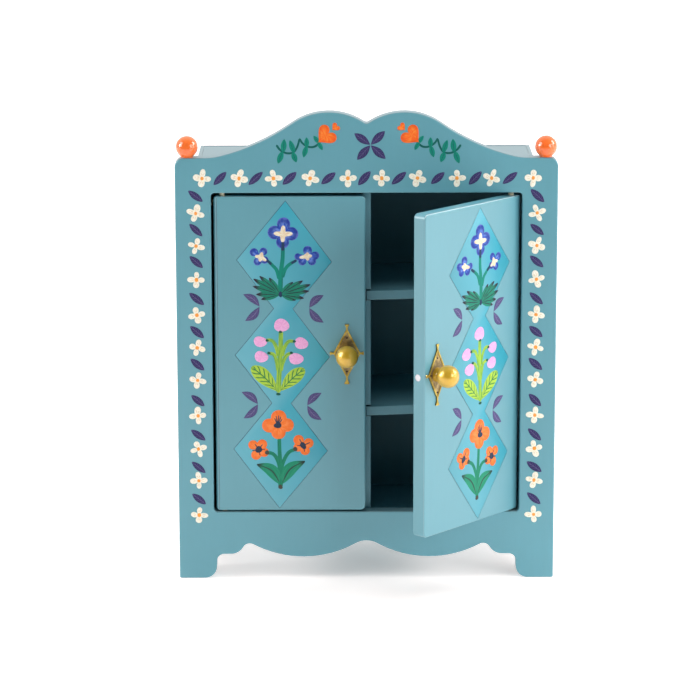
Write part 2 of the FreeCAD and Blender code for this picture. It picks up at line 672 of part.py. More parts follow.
def finial(side):
    """A ball that runs down into a short round foot on the shoulder."""
    x = SIDES[side] * FINIAL_X
    centre_z = SHOULDER_Z + FINIAL_CENTRE_ABOVE_SHOULDER
    ball = Part.makeSphere(FINIAL_RADIUS, Vector(x, PANEL_MID_Y, centre_z))
    foot = rod(FINIAL_FOOT_RADIUS, Vector(x, PANEL_MID_Y, SHOULDER_Z), UP, FINIAL_RADIUS / 2)
    reach = 2 * FINIAL_RADIUS
    above = box(x - reach, x + reach, PANEL_MID_Y - reach, PANEL_MID_Y + reach,
                SHOULDER_Z, SHOULDER_Z + reach)
    body = ball.fuse(foot).common(above).removeSplitter().Solids[0]
    return cut_all(body, [finial_dowel(side)])


# ---- the whole wardrobe ------------------------------------------------------------------
def build():
    nodes = {
        "front_panel": front_panel(),
        "side_left": side_panel("left"),
        "side_right": side_panel("right"),
        "top_panel": top_panel(),
        "floor_panel": floor_panel(),
        "back_panel": back_panel(),
        "divider": divider(),
        "shelf_upper": shelf("upper"),
        "shelf_lower": shelf("lower"),
        "hanging_rail": hanging_rail(),
        "front_dowels": Part.makeCompound(front_dowels()),
        "floor_dowels": Part.makeCompound(floor_dowels()),
        "back_nails": Part.makeCompound(back_nails()),
    }
    for side in SIDES:
        nodes["finial_" + side] = finial(side)
        nodes["finial_dowel_" + side] = finial_dowel(side)
        nodes["door_" + side] = door(side)
        for end in ("top", "bottom"):
            nodes["hinge_pin_" + side + "_" + end] = posed(hinge_pin(side, end, 0), side)
        nodes["magnet_" + side] = magnet(side)
        nodes["handle_plate_" + side] = handle_plate(side)
        nodes["handle_nails_" + side] = handle_nails(side)
        nodes["knob_" + side] = knob(side)
        nodes["knob_screw_" + side] = slotted_screw(side)
    return nodes


os.makedirs("parts", exist_ok=True)
for name, shape in build().items():
    shape.exportStep("parts/" + name + ".step")
    solids = len(shape.Solids)
    print(name, "solids", solids, "valid", shape.isValid(), "volume", round(shape.Volume, 1))
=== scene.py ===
"""A painted dolls' wardrobe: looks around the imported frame.

Every motif is drawn flat, in millimetres, with x to the right, y up and z out of the paint,
and is then laid on the front panel or on a door's face. A door's drawing is laid on the door
as it is when shut and then turned about its pins, so that it rests where the door rests.
"""

import json
import math
import random

import bmesh
import bpy
from bpy.props import FloatProperty, FloatVectorProperty, IntProperty, PointerProperty
from mathutils import Matrix, Vector

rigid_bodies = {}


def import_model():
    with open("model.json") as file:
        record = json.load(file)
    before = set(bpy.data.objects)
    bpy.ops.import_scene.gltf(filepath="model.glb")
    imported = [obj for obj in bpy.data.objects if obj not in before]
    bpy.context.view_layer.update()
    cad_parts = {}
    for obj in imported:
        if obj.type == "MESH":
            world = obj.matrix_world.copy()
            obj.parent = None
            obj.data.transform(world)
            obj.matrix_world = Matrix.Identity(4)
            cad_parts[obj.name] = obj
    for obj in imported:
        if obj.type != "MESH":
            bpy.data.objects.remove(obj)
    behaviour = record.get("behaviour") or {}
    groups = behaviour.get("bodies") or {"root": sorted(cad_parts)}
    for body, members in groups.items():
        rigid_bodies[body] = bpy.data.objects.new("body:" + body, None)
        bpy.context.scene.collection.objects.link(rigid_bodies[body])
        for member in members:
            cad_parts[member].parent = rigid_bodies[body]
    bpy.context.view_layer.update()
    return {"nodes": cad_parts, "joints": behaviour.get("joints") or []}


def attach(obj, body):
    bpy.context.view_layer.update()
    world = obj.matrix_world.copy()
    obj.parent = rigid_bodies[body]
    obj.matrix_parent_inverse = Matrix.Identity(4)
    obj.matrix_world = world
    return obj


bl_info = {
    "name": "Painted dolls' wardrobe",
    "version": (1, 0, 0),
    "blender": (4, 5, 0),
    "location": "View3D > Sidebar > Wardrobe",
    "description": "Paints and furnishes a two-door dolls' wardrobe",
    "category": "Object",
}

for leftover in list(bpy.data.objects):
    bpy.data.objects.remove(leftover)
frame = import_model()

MM = 0.001
PAINT_GLOSS = 0.25
FLOWER_ROUGHNESS = 0.55
NO_TIP = 2.0
DOORS = {"left_door": -1, "right_door": 1}


def tint(red, green, blue):
    """A paint given as it looks on a screen, from 0 to 255, as linear light."""
    shades = [c / 255 for c in (red, green, blue)]
    return tuple(c / 12.92 if c <= 0.04045 else ((c + 0.055) / 1.055) ** 2.4 for c in shades)


def colour_of(name, description, *shades):
    return FloatVectorProperty(
        name=name, description=description, default=tint(*shades), subtype="COLOR", min=0, max=1
    )


def amount_of(name, description, amount, **settings):
    return FloatProperty(name=name, description=description, default=amount, **settings)


def length_of(name, description, millimetres):
    return amount_of(name, description, millimetres * MM, unit="LENGTH", precision=5)


def angle_of(name, description, degrees):
    return amount_of(name, description, math.radians(degrees), subtype="ANGLE")


def power_of(name, description, watts):
    return amount_of(name, description, watts, unit="POWER")


# ---- settings ----------------------------------------------------------------------------


class WardrobeBoards(bpy.types.PropertyGroup):
    """The paint on the boards."""

    front: colour_of("Front", "Paint of the front panel", 94, 160, 175)
    carcass: colour_of("Carcass", "Paint of the sides, top and back", 112, 143, 151)
    # The back and inside paints are darkened as painted shade inside the wardrobe.
    back: colour_of("Back", "Back board's paint, darkened as painted shade", 70, 110, 122)
    inside: colour_of("Inside", "Paint of the floor, divider and shelves, darkened as painted shade", 98, 146, 158)
    door: colour_of("Doors", "Paint of the doors", 95, 158, 172)
    ground: colour_of("Diamonds", "Deep side of the diamonds on the doors", 56, 166, 188)
    # The pale side of the diamonds is a painted sheen.
    ground_sheened: colour_of("Diamonds, sheened side", "Side of the diamonds paled by painted sheen", 96, 172, 189)
    # The paler edges are rubbed paint and partly a painted highlight on the arrises.
    wear_and_highlight: amount_of("Edge wear", "How much the edges lighten", 0.6, min=0, max=1)
    mottle: amount_of("Mottle", "How uneven the paint is", 0.07, min=0, max=1)


class WardrobeFlowers(bpy.types.PropertyGroup):
    """The painted border and sprays."""

    petal_length: length_of("Petal length", "Of a border flower's petal", 5.4)
    petal_width: length_of("Petal width", "Of a border flower's petal", 4.3)
    petal_reach: length_of("Petal reach", "From a border flower's middle to a petal's", 3.05)
    leaf_length: length_of("Leaf length", "Of a border leaf", 11.9)
    leaf_width: length_of("Leaf width", "Of a border leaf", 4.5)
    relief: length_of("Relief", "How far the paint stands above the board", 0.16)
    seed: IntProperty(name="Seed", description="Of the hand-painted unevenness", default=7)
    cream: colour_of("Cream", "Petals of the border flowers", 255, 252, 238)
    ochre: colour_of("Ochre", "Fine strokes on the petals", 204, 158, 92)
    orange: colour_of("Orange", "Hearts, poppies and flower centres", 246, 122, 50)
    purple: colour_of("Purple", "Border leaves and the crest's cross", 54, 48, 98)
    violet: colour_of("Violet", "Leaf pairs on the doors", 80, 76, 124)
    blue: colour_of("Blue", "Blue flowers", 42, 78, 178)
    green: colour_of("Green", "Stems of the blue flowers and the crest's vines", 0, 140, 120)
    lime: colour_of("Lime", "Stems and leaves of the berries", 166, 204, 66)
    fern: colour_of("Fern", "Stems and leaves of the poppies", 24, 138, 104)
    pink: colour_of("Pink", "Berries", 244, 182, 226)


class WardrobeStudio(bpy.types.PropertyGroup):
    """The camera and the lights."""

    eye: FloatVectorProperty(
        name="Eye", description="Where the camera stands", default=(-0.0197, -2.0053, 0.6093),
        subtype="TRANSLATION", unit="LENGTH",
    )
    pitch: angle_of("Pitch", "How far the camera looks down", 12.725)
    yaw: angle_of("Yaw", "How far it looks to the right", 0.2526)
    roll: angle_of("Roll", "How far it leans", -0.0573)
    lens: amount_of("Lens", "Focal length, in mm", 160.4)
    backdrop: amount_of("Backdrop", "Strength of the light from behind", 1.0)
    room: amount_of("Room", "Strength of the light from the camera's side", 0.02)
    glow: amount_of("Table glow", "Strength of the lit table's own light", 0.23)
    overhead: amount_of("Overhead", "Strength of the broad light from above", 2.2)
    near_box: power_of("Near softbox", "The small softbox in front, on the right", 7.5)
    right_box: power_of("Right softbox", "The softbox on the right", 15)
    left_box: power_of("Left softbox", "The softbox on the left", 20)
    left_window: power_of("Left window", "The window mirrored in the balls' left side", 56)
    right_window: power_of("Right window", "The window mirrored in the balls' right side", 36)


# ---- node trees --------------------------------------------------------------------------


def feed(tree, value, socket):
    """Wires a socket to another, or gives it a plain value."""
    if isinstance(value, bpy.types.NodeSocket):
        tree.links.new(value, socket)
    else:
        socket.default_value = value


def add_node(tree, kind, inputs=None, **settings):
    """A node with its settings, and its inputs fed by name or by number."""
    node = tree.nodes.new(kind)
    for name, value in settings.items():
        setattr(node, name, value)
    for name, value in (inputs or {}).items():
        feed(tree, value, node.inputs[name])
    return node


def calc(tree, operation, *values):
    inputs = dict(enumerate(values))
    return add_node(tree, "ShaderNodeMath", inputs, operation=operation).outputs[0]


def times(tree, first, *others):
    """The product of several values."""
    for other in others:
        first = calc(tree, "MULTIPLY", first, other)
    return first


def vector_calc(tree, operation, *values, output=0):
    inputs = dict(enumerate(values))
    return add_node(tree, "ShaderNodeVectorMath", inputs, operation=operation).outputs[output]


def axis_of(tree, vector, letter):
    return add_node(tree, "ShaderNodeSeparateXYZ", {0: vector}).outputs[letter]


def vector_of(tree, x, y, z):
    return add_node(tree, "ShaderNodeCombineXYZ", {0: x, 1: y, 2: z}).outputs[0]


def blend_colour(tree, share, first, second):
    node = tree.nodes.new("ShaderNodeMix")
    node.data_type = "RGBA"
    feed(tree, share, node.inputs["Factor"])
    feed(tree, first, node.inputs["A"])
    feed(tree, second, node.inputs["B"])
    return node.outputs["Result"]


def noise(tree, vector, scale, detail=3.0, roughness=0.5):
    inputs = {"Vector": vector, "Scale": scale, "Detail": detail, "Roughness": roughness}
    return add_node(tree, "ShaderNodeTexNoise", inputs).outputs["Fac"]


def ramp(tree, value, low, high):
    """0 below low, 1 above high, and smooth between."""
    inputs = {"Value": value, "From Min": low, "From Max": high}
    return add_node(
        tree, "ShaderNodeMapRange", inputs, interpolation_type="SMOOTHSTEP"
    ).outputs["Result"]


def falling(tree, value, low, high):
    """1 below low, 0 above high, and smooth between."""
    return calc(tree, "SUBTRACT", 1.0, ramp(tree, value, low, high))


def new_group(name, inputs, outputs, kind="ShaderNodeTree"):
    """An empty node group with these sockets: (name, type, default) each."""
    group = bpy.data.node_groups.new(name, kind)
    for label, socket_type, default in inputs:
        socket = group.interface.new_socket(name=label, in_out="INPUT", socket_type=socket_type)
        if default is not None:
            socket.default_value = default
    for label, socket_type in outputs:
        group.interface.new_socket(name=label, in_out="OUTPUT", socket_type=socket_type)
    given = group.nodes.new("NodeGroupInput").outputs
    made = group.nodes.new("NodeGroupOutput").inputs
    return group, given, made


FLOAT, VECTOR, COLOUR = "NodeSocketFloat", "NodeSocketVector", "NodeSocketColor"
GEOMETRY, MATERIAL, INTEGER = "NodeSocketGeometry", "NodeSocketMaterial", "NodeSocketInt"
QUARTER_TURN = (math.pi / 2, 0, 0)


def board_group():
    """Sprayed satin paint on smooth board: slow mottling, fine orange peel, edges paler from wear
    and partly from a painted highlight, and painted groove shade, arris highlight and top sheen.
    """
    group, given, made = new_group(
        "sprayed_board",
        [
            ("Place", VECTOR, None),
            ("Paint", COLOUR, (0.2, 0.4, 0.5, 1)),
            ("Mottle", FLOAT, 0.06),
            ("Wear and highlight", FLOAT, 0.3),
            ("Shine", FLOAT, 0.5),
            ("Groove shade", FLOAT, 0.0),
            ("Top", COLOUR, (0.5, 0.5, 0.5, 1)),
            ("Top sheen share", FLOAT, 0.0),
            ("Arris highlight", FLOAT, 0.0),
        ],
        [("Colour", COLOUR), ("Roughness", FLOAT), ("Height", FLOAT), ("Edge", VECTOR)],
    )
    slow = noise(group, given["Place"], 14, 4)
    grain = noise(group, vector_calc(group, "MULTIPLY", given["Place"], (1, 1, 0.12)), 420, 2)
    uneven = calc(group, "MULTIPLY_ADD", calc(group, "SUBTRACT", grain, 0.5), 0.35, slow)
    swing = times(group, calc(group, "SUBTRACT", uneven, 0.5), given["Mottle"])
    lighter = vector_calc(group, "SCALE", given["Paint"])
    feed(group, calc(group, "MULTIPLY_ADD", swing, 2.0, 1.0), lighter.node.inputs["Scale"])
    soft = add_node(group, "ShaderNodeBevel", {"Radius": 0.7 * MM}, samples=6).outputs["Normal"]
    flat = add_node(group, "ShaderNodeNewGeometry").outputs["Normal"]
    facing = vector_calc(group, "DOT_PRODUCT", soft, flat, output="Value")
    edge = ramp(group, calc(group, "SUBTRACT", 1.0, facing), 0.003, 0.06)
    patches = ramp(group, noise(group, given["Place"], 60, 2), 0.35, 0.65)
    worn_and_highlit = times(group, edge, calc(group, "MULTIPLY_ADD", patches, 0.6, 0.4), given["Wear and highlight"])
    # Paler edges: rubbed paint, and partly a painted highlight where the arrises catch light.
    rubbed_and_highlit = blend_colour(group, worn_and_highlit, lighter, (0.66, 0.74, 0.75, 1))
    # Painted shade: the engraved groove is blended to a dark navy.
    groove_shaded = blend_colour(group, given["Groove shade"], rubbed_and_highlit, (0.004, 0.03, 0.075, 1))
    # Painted highlight: the door's front arrises are blended to a pale blue-white.
    highlit_arris = blend_colour(group, given["Arris highlight"], groove_shaded, (0.72, 0.84, 0.86, 1))
    # Painted sheen: edges that face up are blended to the top colour, as if lit from above.
    top_sheen_share = times(group, ramp(group, axis_of(group, soft, "Z"), 0.35, 0.75), given["Top sheen share"])
    feed(group, blend_colour(group, top_sheen_share, highlit_arris, given["Top"]), made["Colour"])
    feed(group, calc(group, "MULTIPLY_ADD", uneven, 0.12, given["Shine"]), made["Roughness"])
    peel = noise(group, given["Place"], 900, 2)
    feed(group, calc(group, "MULTIPLY_ADD", grain, 0.5, peel), made["Height"])
    feed(group, soft, made["Edge"])
    return group


def brushwork_group():
    """Streaks along a stroke. Brush runs from -1 to 1 across in x, and along in y."""
    group, given, made = new_group(
        "brushwork",
        [
            ("Brush", VECTOR, None),
            ("Place", VECTOR, None),
            ("Paint", COLOUR, (0.5, 0.5, 0.5, 1)),
            ("Second", COLOUR, (0.7, 0.7, 0.7, 1)),
            ("Amount", FLOAT, 0.5),
            ("Tip", COLOUR, (0.1, 0.1, 0.1, 1)),
            ("Tip from", FLOAT, 2.0),
        ],
        [("Colour", COLOUR), ("Height", FLOAT)],
    )
    across = vector_calc(group, "MULTIPLY", given["Brush"], (2.6, 0.45, 0))
    wander = vector_calc(group, "MULTIPLY_ADD", given["Place"], (55, 55, 55), across)
    streak = noise(group, wander, 1.6, 3, 0.62)
    share = times(group, ramp(group, streak, 0.42, 0.62), given["Amount"])
    painted = blend_colour(group, share, given["Paint"], given["Second"])
    ragged = calc(group, "MULTIPLY_ADD", streak, 0.5, axis_of(group, given["Brush"], "Y"))
    start = calc(group, "ADD", given["Tip from"], 0.4)
    dark = ramp(group, ragged, given["Tip from"], start)
    feed(group, blend_colour(group, dark, painted, given["Tip"]), made["Colour"])
    feed(group, streak, made["Height"])
    return group


def petal_group():
    """Strokes from the middle of a flower outwards. Brush is a disc of radius 1."""
    group, given, made = new_group(
        "petalwork",
        [
            ("Brush", VECTOR, None),
            ("Place", VECTOR, None),
            ("Paint", COLOUR, (0.5, 0.5, 0.5, 1)),
            ("Second", COLOUR, (0.7, 0.7, 0.7, 1)),
            ("Amount", FLOAT, 0.5),
            ("Rim", COLOUR, (0.1, 0.1, 0.1, 1)),
            ("Rim amount", FLOAT, 0.0),
            ("Edge", COLOUR, (0.1, 0.1, 0.1, 1)),
            ("Edge amount", FLOAT, 0.0),
        ],
        [("Colour", COLOUR), ("Height", FLOAT)],
    )
    outward = vector_calc(group, "NORMALIZE", given["Brush"])
    rays = vector_calc(group, "MULTIPLY_ADD", given["Place"], (70, 70, 70), outward)
    streak = noise(group, rays, 3.4, 3, 0.6)
    share = times(group, ramp(group, streak, 0.42, 0.6), given["Amount"])
    painted = blend_colour(group, share, given["Paint"], given["Second"])
    reach = vector_calc(group, "LENGTH", given["Brush"], output="Value")
    ragged = calc(group, "MULTIPLY_ADD", streak, 0.3, reach)
    rim = times(group, ramp(group, ragged, 0.7, 0.95), given["Rim amount"])
    painted = blend_colour(group, rim, painted, given["Rim"])
    edge = times(group, ramp(group, ragged, 1.02, 1.1), given["Edge amount"])
    feed(group, blend_colour(group, edge, painted, given["Edge"]), made["Colour"])
    feed(group, streak, made["Height"])
    return group


def vein_group():
    """A mid-rib and slanting side veins, as a mask. Brush runs from -1 to 1 both ways."""
    group, given, made = new_group(
        "leaf_veins",
        [
            ("Brush", VECTOR, None),
            ("Pairs", FLOAT, 3.0),
            ("Slant", FLOAT, 0.9),
            ("Width", FLOAT, 0.1),
            ("Rib", FLOAT, 0.1),
        ],
        [("Mask", FLOAT)],
    )
    parts = add_node(group, "ShaderNodeSeparateXYZ", {0: given["Brush"]}).outputs
    side = calc(group, "ABSOLUTE", parts["X"])
    rib = falling(group, side, times(group, given["Rib"], 0.5), given["Rib"])
    slid = calc(group, "SUBTRACT", parts["Y"], times(group, side, given["Slant"]))
    wave = calc(group, "PINGPONG", times(group, slid, given["Pairs"]), 0.5)
    narrow = times(group, given["Width"], given["Pairs"])
    vein = falling(group, wave, times(group, narrow, 0.4), narrow)
    inner = falling(group, side, 0.7, 0.9)
    feed(group, calc(group, "MAXIMUM", rib, times(group, vein, inner)), made["Mask"])
    return group


groups = {}


def group_node(tree, name, inputs):
    builders = {
        "sprayed_board": board_group,
        "brushwork": brushwork_group,
        "petalwork": petal_group,
        "leaf_veins": vein_group,
    }
    if name not in groups:
        groups[name] = builders[name]()
    node = add_node(tree, "ShaderNodeGroup", node_tree=groups[name])
    for label, value in inputs.items():
        feed(tree, value, node.inputs[label])
    return node.outputs


def rgba(colour):
    return (*colour, 1)


def shaded(colour, factor):
    """A paint made darker or lighter."""
    return tuple(min(1, c * factor) for c in colour)


def new_finish(name, roughness=0.5):
    """A material with a Principled BSDF, and its tree."""
    material = bpy.data.materials.new(name)
    material.use_nodes = True
    shader = material.node_tree.nodes["Principled BSDF"]
    shader.inputs["Roughness"].default_value = roughness
    return material, material.node_tree, shader.inputs


def object_place(tree):
    return add_node(tree, "ShaderNodeTexCoord").outputs["Object"]


def out_of_face(tree, body):
    """How far a point stands out of a door's closed face, in millimetres."""
    outward = face_of(body).inverted()[2]
    along = vector_calc(tree, "DOT_PRODUCT", object_place(tree), tuple(outward[:3]), output="Value")
    return calc(tree, "ADD", along, outward[3])


# How strong each door's painted arris highlight is: the open door's catch more light.
ARRIS_HIGHLIGHT_SHARES = {"left_door": 0.3, "right_door": 1.0}


def groove_shade_and_arris_highlight(tree, body):
    """Masks of the painted shade in a door's engraved line and of the painted highlight on its
    rounded front arrises, strongest on the top one, which faces the light from above.

    Both lie in a narrow range of depths below the face, given here in millimetres.
    """
    height = out_of_face(tree, body)
    own_normal = add_node(
        tree, "ShaderNodeVectorTransform",
        {"Vector": add_node(tree, "ShaderNodeNewGeometry").outputs["True Normal"]},
        vector_type="NORMAL", convert_from="WORLD", convert_to="OBJECT",
    ).outputs[0]
    outward = Vector(face_of(body).inverted()[2][:3]).normalized()
    facing = vector_calc(tree, "DOT_PRODUCT", own_normal, tuple(outward), output="Value")
    sunk = times(tree, ramp(tree, height, -0.6, -0.4), falling(tree, height, -0.2, -0.05))
    groove_shade = times(tree, ramp(tree, facing, 0.9, 0.96), sunk)
    highlit_arris = times(tree, ramp(tree, height, -0.85, -0.6), falling(tree, height, -0.32, -0.16))
    # The arris that faces up, towards the light from above, takes the strongest painted highlight.
    facing_light_above = ramp(tree, axis_of(tree, own_normal, "Z"), 0.2, 0.7)
    strength = calc(tree, "MULTIPLY_ADD", facing_light_above, 0.6, 0.15)
    return groove_shade, times(tree, highlit_arris, strength, ARRIS_HIGHLIGHT_SHARES[body])


def brush_place(tree):
    return add_node(
        tree, "ShaderNodeAttribute", attribute_type="GEOMETRY", attribute_name="brush"
    ).outputs["Vector"]


def raise_surface(tree, height, shader, depth, strength=1.0, normal=None):
    inputs = {"Height": height, "Distance": depth, "Strength": strength}
    if normal is not None:
        inputs["Normal"] = normal
    feed(tree, add_node(tree, "ShaderNodeBump", inputs).outputs["Normal"], shader["Normal"])


def board_finish(name, colour, settings, shine=0.42, wear_and_highlight=1.0, sheen=0.0, top=None, body=None):
    """Sprayed satin paint on board.

    The wear setting scales the paler edges: rubbed paint, and partly a painted highlight. top is a
    colour painted on the edges that face up, as a painted sheen from above. A door's finish names
    its
    body: it gets painted shade in its engraved line and a painted highlight on its front arrises.
    """
    material, tree, shader = new_finish(name)
    groove_shade, arris_highlight = groove_shade_and_arris_highlight(tree, body) if body else (0.0, 0.0)
    shader["Coat Weight"].default_value = sheen
    shader["Coat Roughness"].default_value = 0.3
    made = group_node(
        tree,
        "sprayed_board",
        {
            "Place": object_place(tree),
            "Paint": rgba(colour),
            "Mottle": settings.mottle,
            "Wear and highlight": settings.wear_and_highlight * wear_and_highlight,
            "Shine": shine,
            "Groove shade": groove_shade,
            "Top": rgba(top or colour),
            "Top sheen share": 0.9 if top else 0.0,
            "Arris highlight": arris_highlight,
        },
    )
    feed(tree, made["Colour"], shader["Base Color"])
    feed(tree, made["Roughness"], shader["Roughness"])
    raise_surface(tree, made["Height"], shader, 0.03 * MM, 0.35, made["Edge"])
    return material


def stroke_finish(name, colour, second, amount=0.5, tip=None, tip_from=NO_TIP, veins=None):
    """Paint brushed along a stroke or a leaf.

    The tip's colour starts at tip_from, where 1 is the far end. veins is (colour, strength,
    pairs, slant, width, rib).
    """
    material, tree, shader = new_finish(name, FLOWER_ROUGHNESS)
    shader["Specular IOR Level"].default_value = PAINT_GLOSS
    brush = brush_place(tree)
    made = group_node(
        tree,
        "brushwork",
        {
            "Brush": brush,
            "Place": object_place(tree),
            "Paint": rgba(colour),
            "Second": rgba(second),
            "Amount": amount,
            "Tip": rgba(tip or colour),
            "Tip from": tip_from,
        },
    )
    painted = made["Colour"]
    if veins:
        vein_colour, strength, pairs, slant, width, rib = veins
        sockets = {"Brush": brush, "Pairs": pairs, "Slant": slant, "Width": width, "Rib": rib}
        mask = group_node(tree, "leaf_veins", sockets)["Mask"]
        share = times(tree, mask, strength)
        painted = blend_colour(tree, share, painted, rgba(vein_colour))
    feed(tree, painted, shader["Base Color"])
    raise_surface(tree, made["Height"], shader, 0.06 * MM, 0.6)
    return material


def petal_finish(name, colour, second, amount=0.5, rim=None, rim_amount=0.0, edge=None):
    """Paint brushed out from the middle of a flower."""
    material, tree, shader = new_finish(name, FLOWER_ROUGHNESS)
    shader["Specular IOR Level"].default_value = PAINT_GLOSS
    made = group_node(
        tree,
        "petalwork",
        {
            "Brush": brush_place(tree),
            "Place": object_place(tree),
            "Paint": rgba(colour),
            "Second": rgba(second),
            "Amount": amount,
            "Rim": rgba(rim or colour),
            "Rim amount": rim_amount,
            "Edge": rgba(edge or colour),
            "Edge amount": 0.85 if edge else 0.0,
        },
    )
    feed(tree, made["Colour"], shader["Base Color"])
    raise_surface(tree, made["Height"], shader, 0.06 * MM, 0.6)
    return material


# ---- paint films -------------------------------------------------------------------------


def smooth_line(points, spans=5):
    """A curve through the points, as a finer list of points."""
    points = [Vector(p) for p in points]
    if len(points) < 3:
        return [points[0].lerp(points[-1], i / spans) for i in range(spans + 1)]
    ends = [points[0] * 2 - points[1], *points, points[-1] * 2 - points[-2]]
    line = []
    for a, b, c, d in zip(ends, ends[1:], ends[2:], ends[3:]):
        for i in range(spans):
            t = i / spans
            line.append(
                0.5 * (2 * b + (c - a) * t + (2 * a - 5 * b + 4 * c - d) * t**2
                       + (3 * b - a - 3 * c + d) * t**3)
            )
    return [*line, points[-1]]


class Film:
    """Raised paint on one face: closed, slightly domed shells, drawn flat in millimetres.

    A shell takes the first of the film's finishes, or the one that it is given.
    """

    BURIED = -0.03
    # How high the paint stands, as a share, at each share of the way from the middle to the rim.
    DOME = ((0.45, 0.99), (0.8, 0.93), (0.93, 0.78))

    def __init__(self, name, finishes):
        self.name = name
        self.finishes = finishes
        self.mesh = bmesh.new()
        self.brush = self.mesh.verts.layers.float_vector.new("brush")

    def point(self, place, height, brush):
        vertex = self.mesh.verts.new((place[0], place[1], height))
        vertex[self.brush] = (*brush, 0)
        return vertex

    def face(self, corners, finish):
        made = self.mesh.faces.new(corners)
        made.material_index = self.finishes.index(finish) if finish else 0
        made.smooth = True

    def ribbon(self, spine, half_widths, height, finish=None, flat=False):
        """A shell along a spine. Its ends have no width, so they close in a point."""
        rows = []
        last = len(spine) - 1
        widest = max(half_widths)
        profile = ((0.995, 1.0),) if flat else self.DOME
        right = [(share, rise) for share, rise in profile] + [(1, None)]
        columns = [(-share, rise) for share, rise in reversed(right)] + right
        for i, (centre, half) in enumerate(zip(spine, half_widths)):
            ahead = spine[min(i + 1, last)] - spine[max(i - 1, 0)]
            side = Vector((ahead.y, -ahead.x)).normalized()
            crown = height if flat else height * min(1, half / widest * 1.5) ** 0.5
            row = []
            for step, rise in columns:
                top = self.BURIED if rise is None else crown * rise
                row.append(self.point(centre + side * half * step, top, (step, 2 * i / last - 1)))
            rows.append(row)
        for low, high in zip(rows, rows[1:]):
            for j in range(len(columns) - 1):
                self.face((low[j], low[j + 1], high[j + 1], high[j]), finish)
            self.face((low[-1], low[0], high[0], high[-1]), finish)

    def leaf(self, base, tip, width, bow=0.0, fullest=0.5, height=0.16, finish=None, blunt=1.0):
        """A leaf from base to tip. bow bends it to its left, as a share of its length."""
        base, tip = Vector(base), Vector(tip)
        along = tip - base
        middle = (base + tip) / 2 + Vector((-along.y, along.x)) * bow
        spine = smooth_line([base, middle, tip], 8)
        power = math.log(0.5) / math.log(fullest)
        last = len(spine) - 1
        halves = [
            width / 2 * max(0, math.sin(math.pi * (i / last) ** power)) ** blunt
            for i in range(last + 1)
        ]
        halves[0] = halves[-1] = 0
        self.ribbon(spine, halves, height, finish)

    def stroke(self, points, start, end, height=0.12, finish=None, spans=6):
        """A brush stroke through the points, from one width to another, with round ends."""
        spine = smooth_line(points, spans)
        last = len(spine) - 1
        length = sum((b - a).length for a, b in zip(spine, spine[1:]))
        travelled = 0
        halves = []
        for i, here in enumerate(spine):
            travelled += (here - spine[i - 1]).length if i else 0
            half = (start + (end - start) * i / last) / 2
            near_end = min(travelled, length - travelled) / max(half, 0.01)
            halves.append(half * math.sqrt(max(0, 1 - max(0, 1 - near_end) ** 2)))
        halves[0] = halves[-1] = 0
        self.ribbon(spine, halves, height, finish)

    def disc(self, centre, outline, height=0.16, finish=None):
        """A shell whose outline is a list of points seen from the centre."""
        centre = Vector(centre)
        count = len(outline)
        crown = self.point(centre, height, (0, 0))
        below = self.point(centre, self.BURIED, (0, 0))
        layers = []
        for share, rise in (*self.DOME, (1, None)):
            top = self.BURIED if rise is None else height * rise
            layer = []
            for j, edge in enumerate(outline):
                angle = 2 * math.pi * j / count
                place = centre + (Vector(edge) - centre) * share
                brush = (share * math.cos(angle), share * math.sin(angle))
                layer.append(self.point(place, top, brush))
            layers.append(layer)
        for j in range(count):
            nxt = (j + 1) % count
            self.face((crown, layers[0][j], layers[0][nxt]), finish)
            self.face((below, layers[-1][nxt], layers[-1][j]), finish)
            for low, high in zip(layers, layers[1:]):
                self.face((low[j], high[j], high[nxt], low[nxt]), finish)

    def bloom(self, centre, lobes, height=0.18, finish=None, core=0.6, rays=72):
        """A lobed flower. Each lobe is a circle: (place in the flower, radius)."""
        centre = Vector(centre)
        outline = []
        for j in range(rays):
            angle = 2 * math.pi * j / rays
            ray = Vector((math.cos(angle), math.sin(angle)))
            reach = core
            for place, radius in lobes:
                along = Vector(place).dot(ray)
                spare = radius**2 - (Vector(place).length_squared - along**2)
                if spare > 0:
                    reach = max(reach, along + math.sqrt(spare))
            outline.append(centre + ray * reach)
        self.disc(centre, outline, height, finish)

    def star(self, centre, tips, inner, height=0.24, finish=None, sharp=9, rays=64):
        """A star. Its tips are places seen from its centre; inner is the radius between them."""
        centre = Vector(centre)
        outline = []
        for j in range(rays):
            angle = 2 * math.pi * j / rays
            ray = Vector((math.cos(angle), math.sin(angle)))
            reach = inner * (1 + 0.1 * math.sin(5 * angle + inner))
            for tip in tips:
                length = Vector(tip).length
                facing = max(0, ray.dot(Vector(tip)) / length)
                narrowing = sharp * length / inner / 2
                reach = max(reach, inner + (length - inner) * facing**narrowing)
            outline.append(centre + ray * reach)
        self.disc(centre, outline, height, finish)

    def dab(self, centre, wide, high, turn=0.0, height=0.18, finish=None, wobble=0.05, rays=28):
        """An uneven round dab of paint."""
        centre = Vector(centre)
        outline = []
        for j in range(rays):
            angle = 2 * math.pi * j / rays
            uneven = 1 + wobble * math.sin(2 * angle + wide) + wobble * math.sin(3 * angle + high)
            place = Vector((wide / 2 * math.cos(angle), high / 2 * math.sin(angle))) * uneven
            place.rotate(Matrix.Rotation(turn, 2))
            outline.append(centre + place)
        self.disc(centre, outline, height, finish)

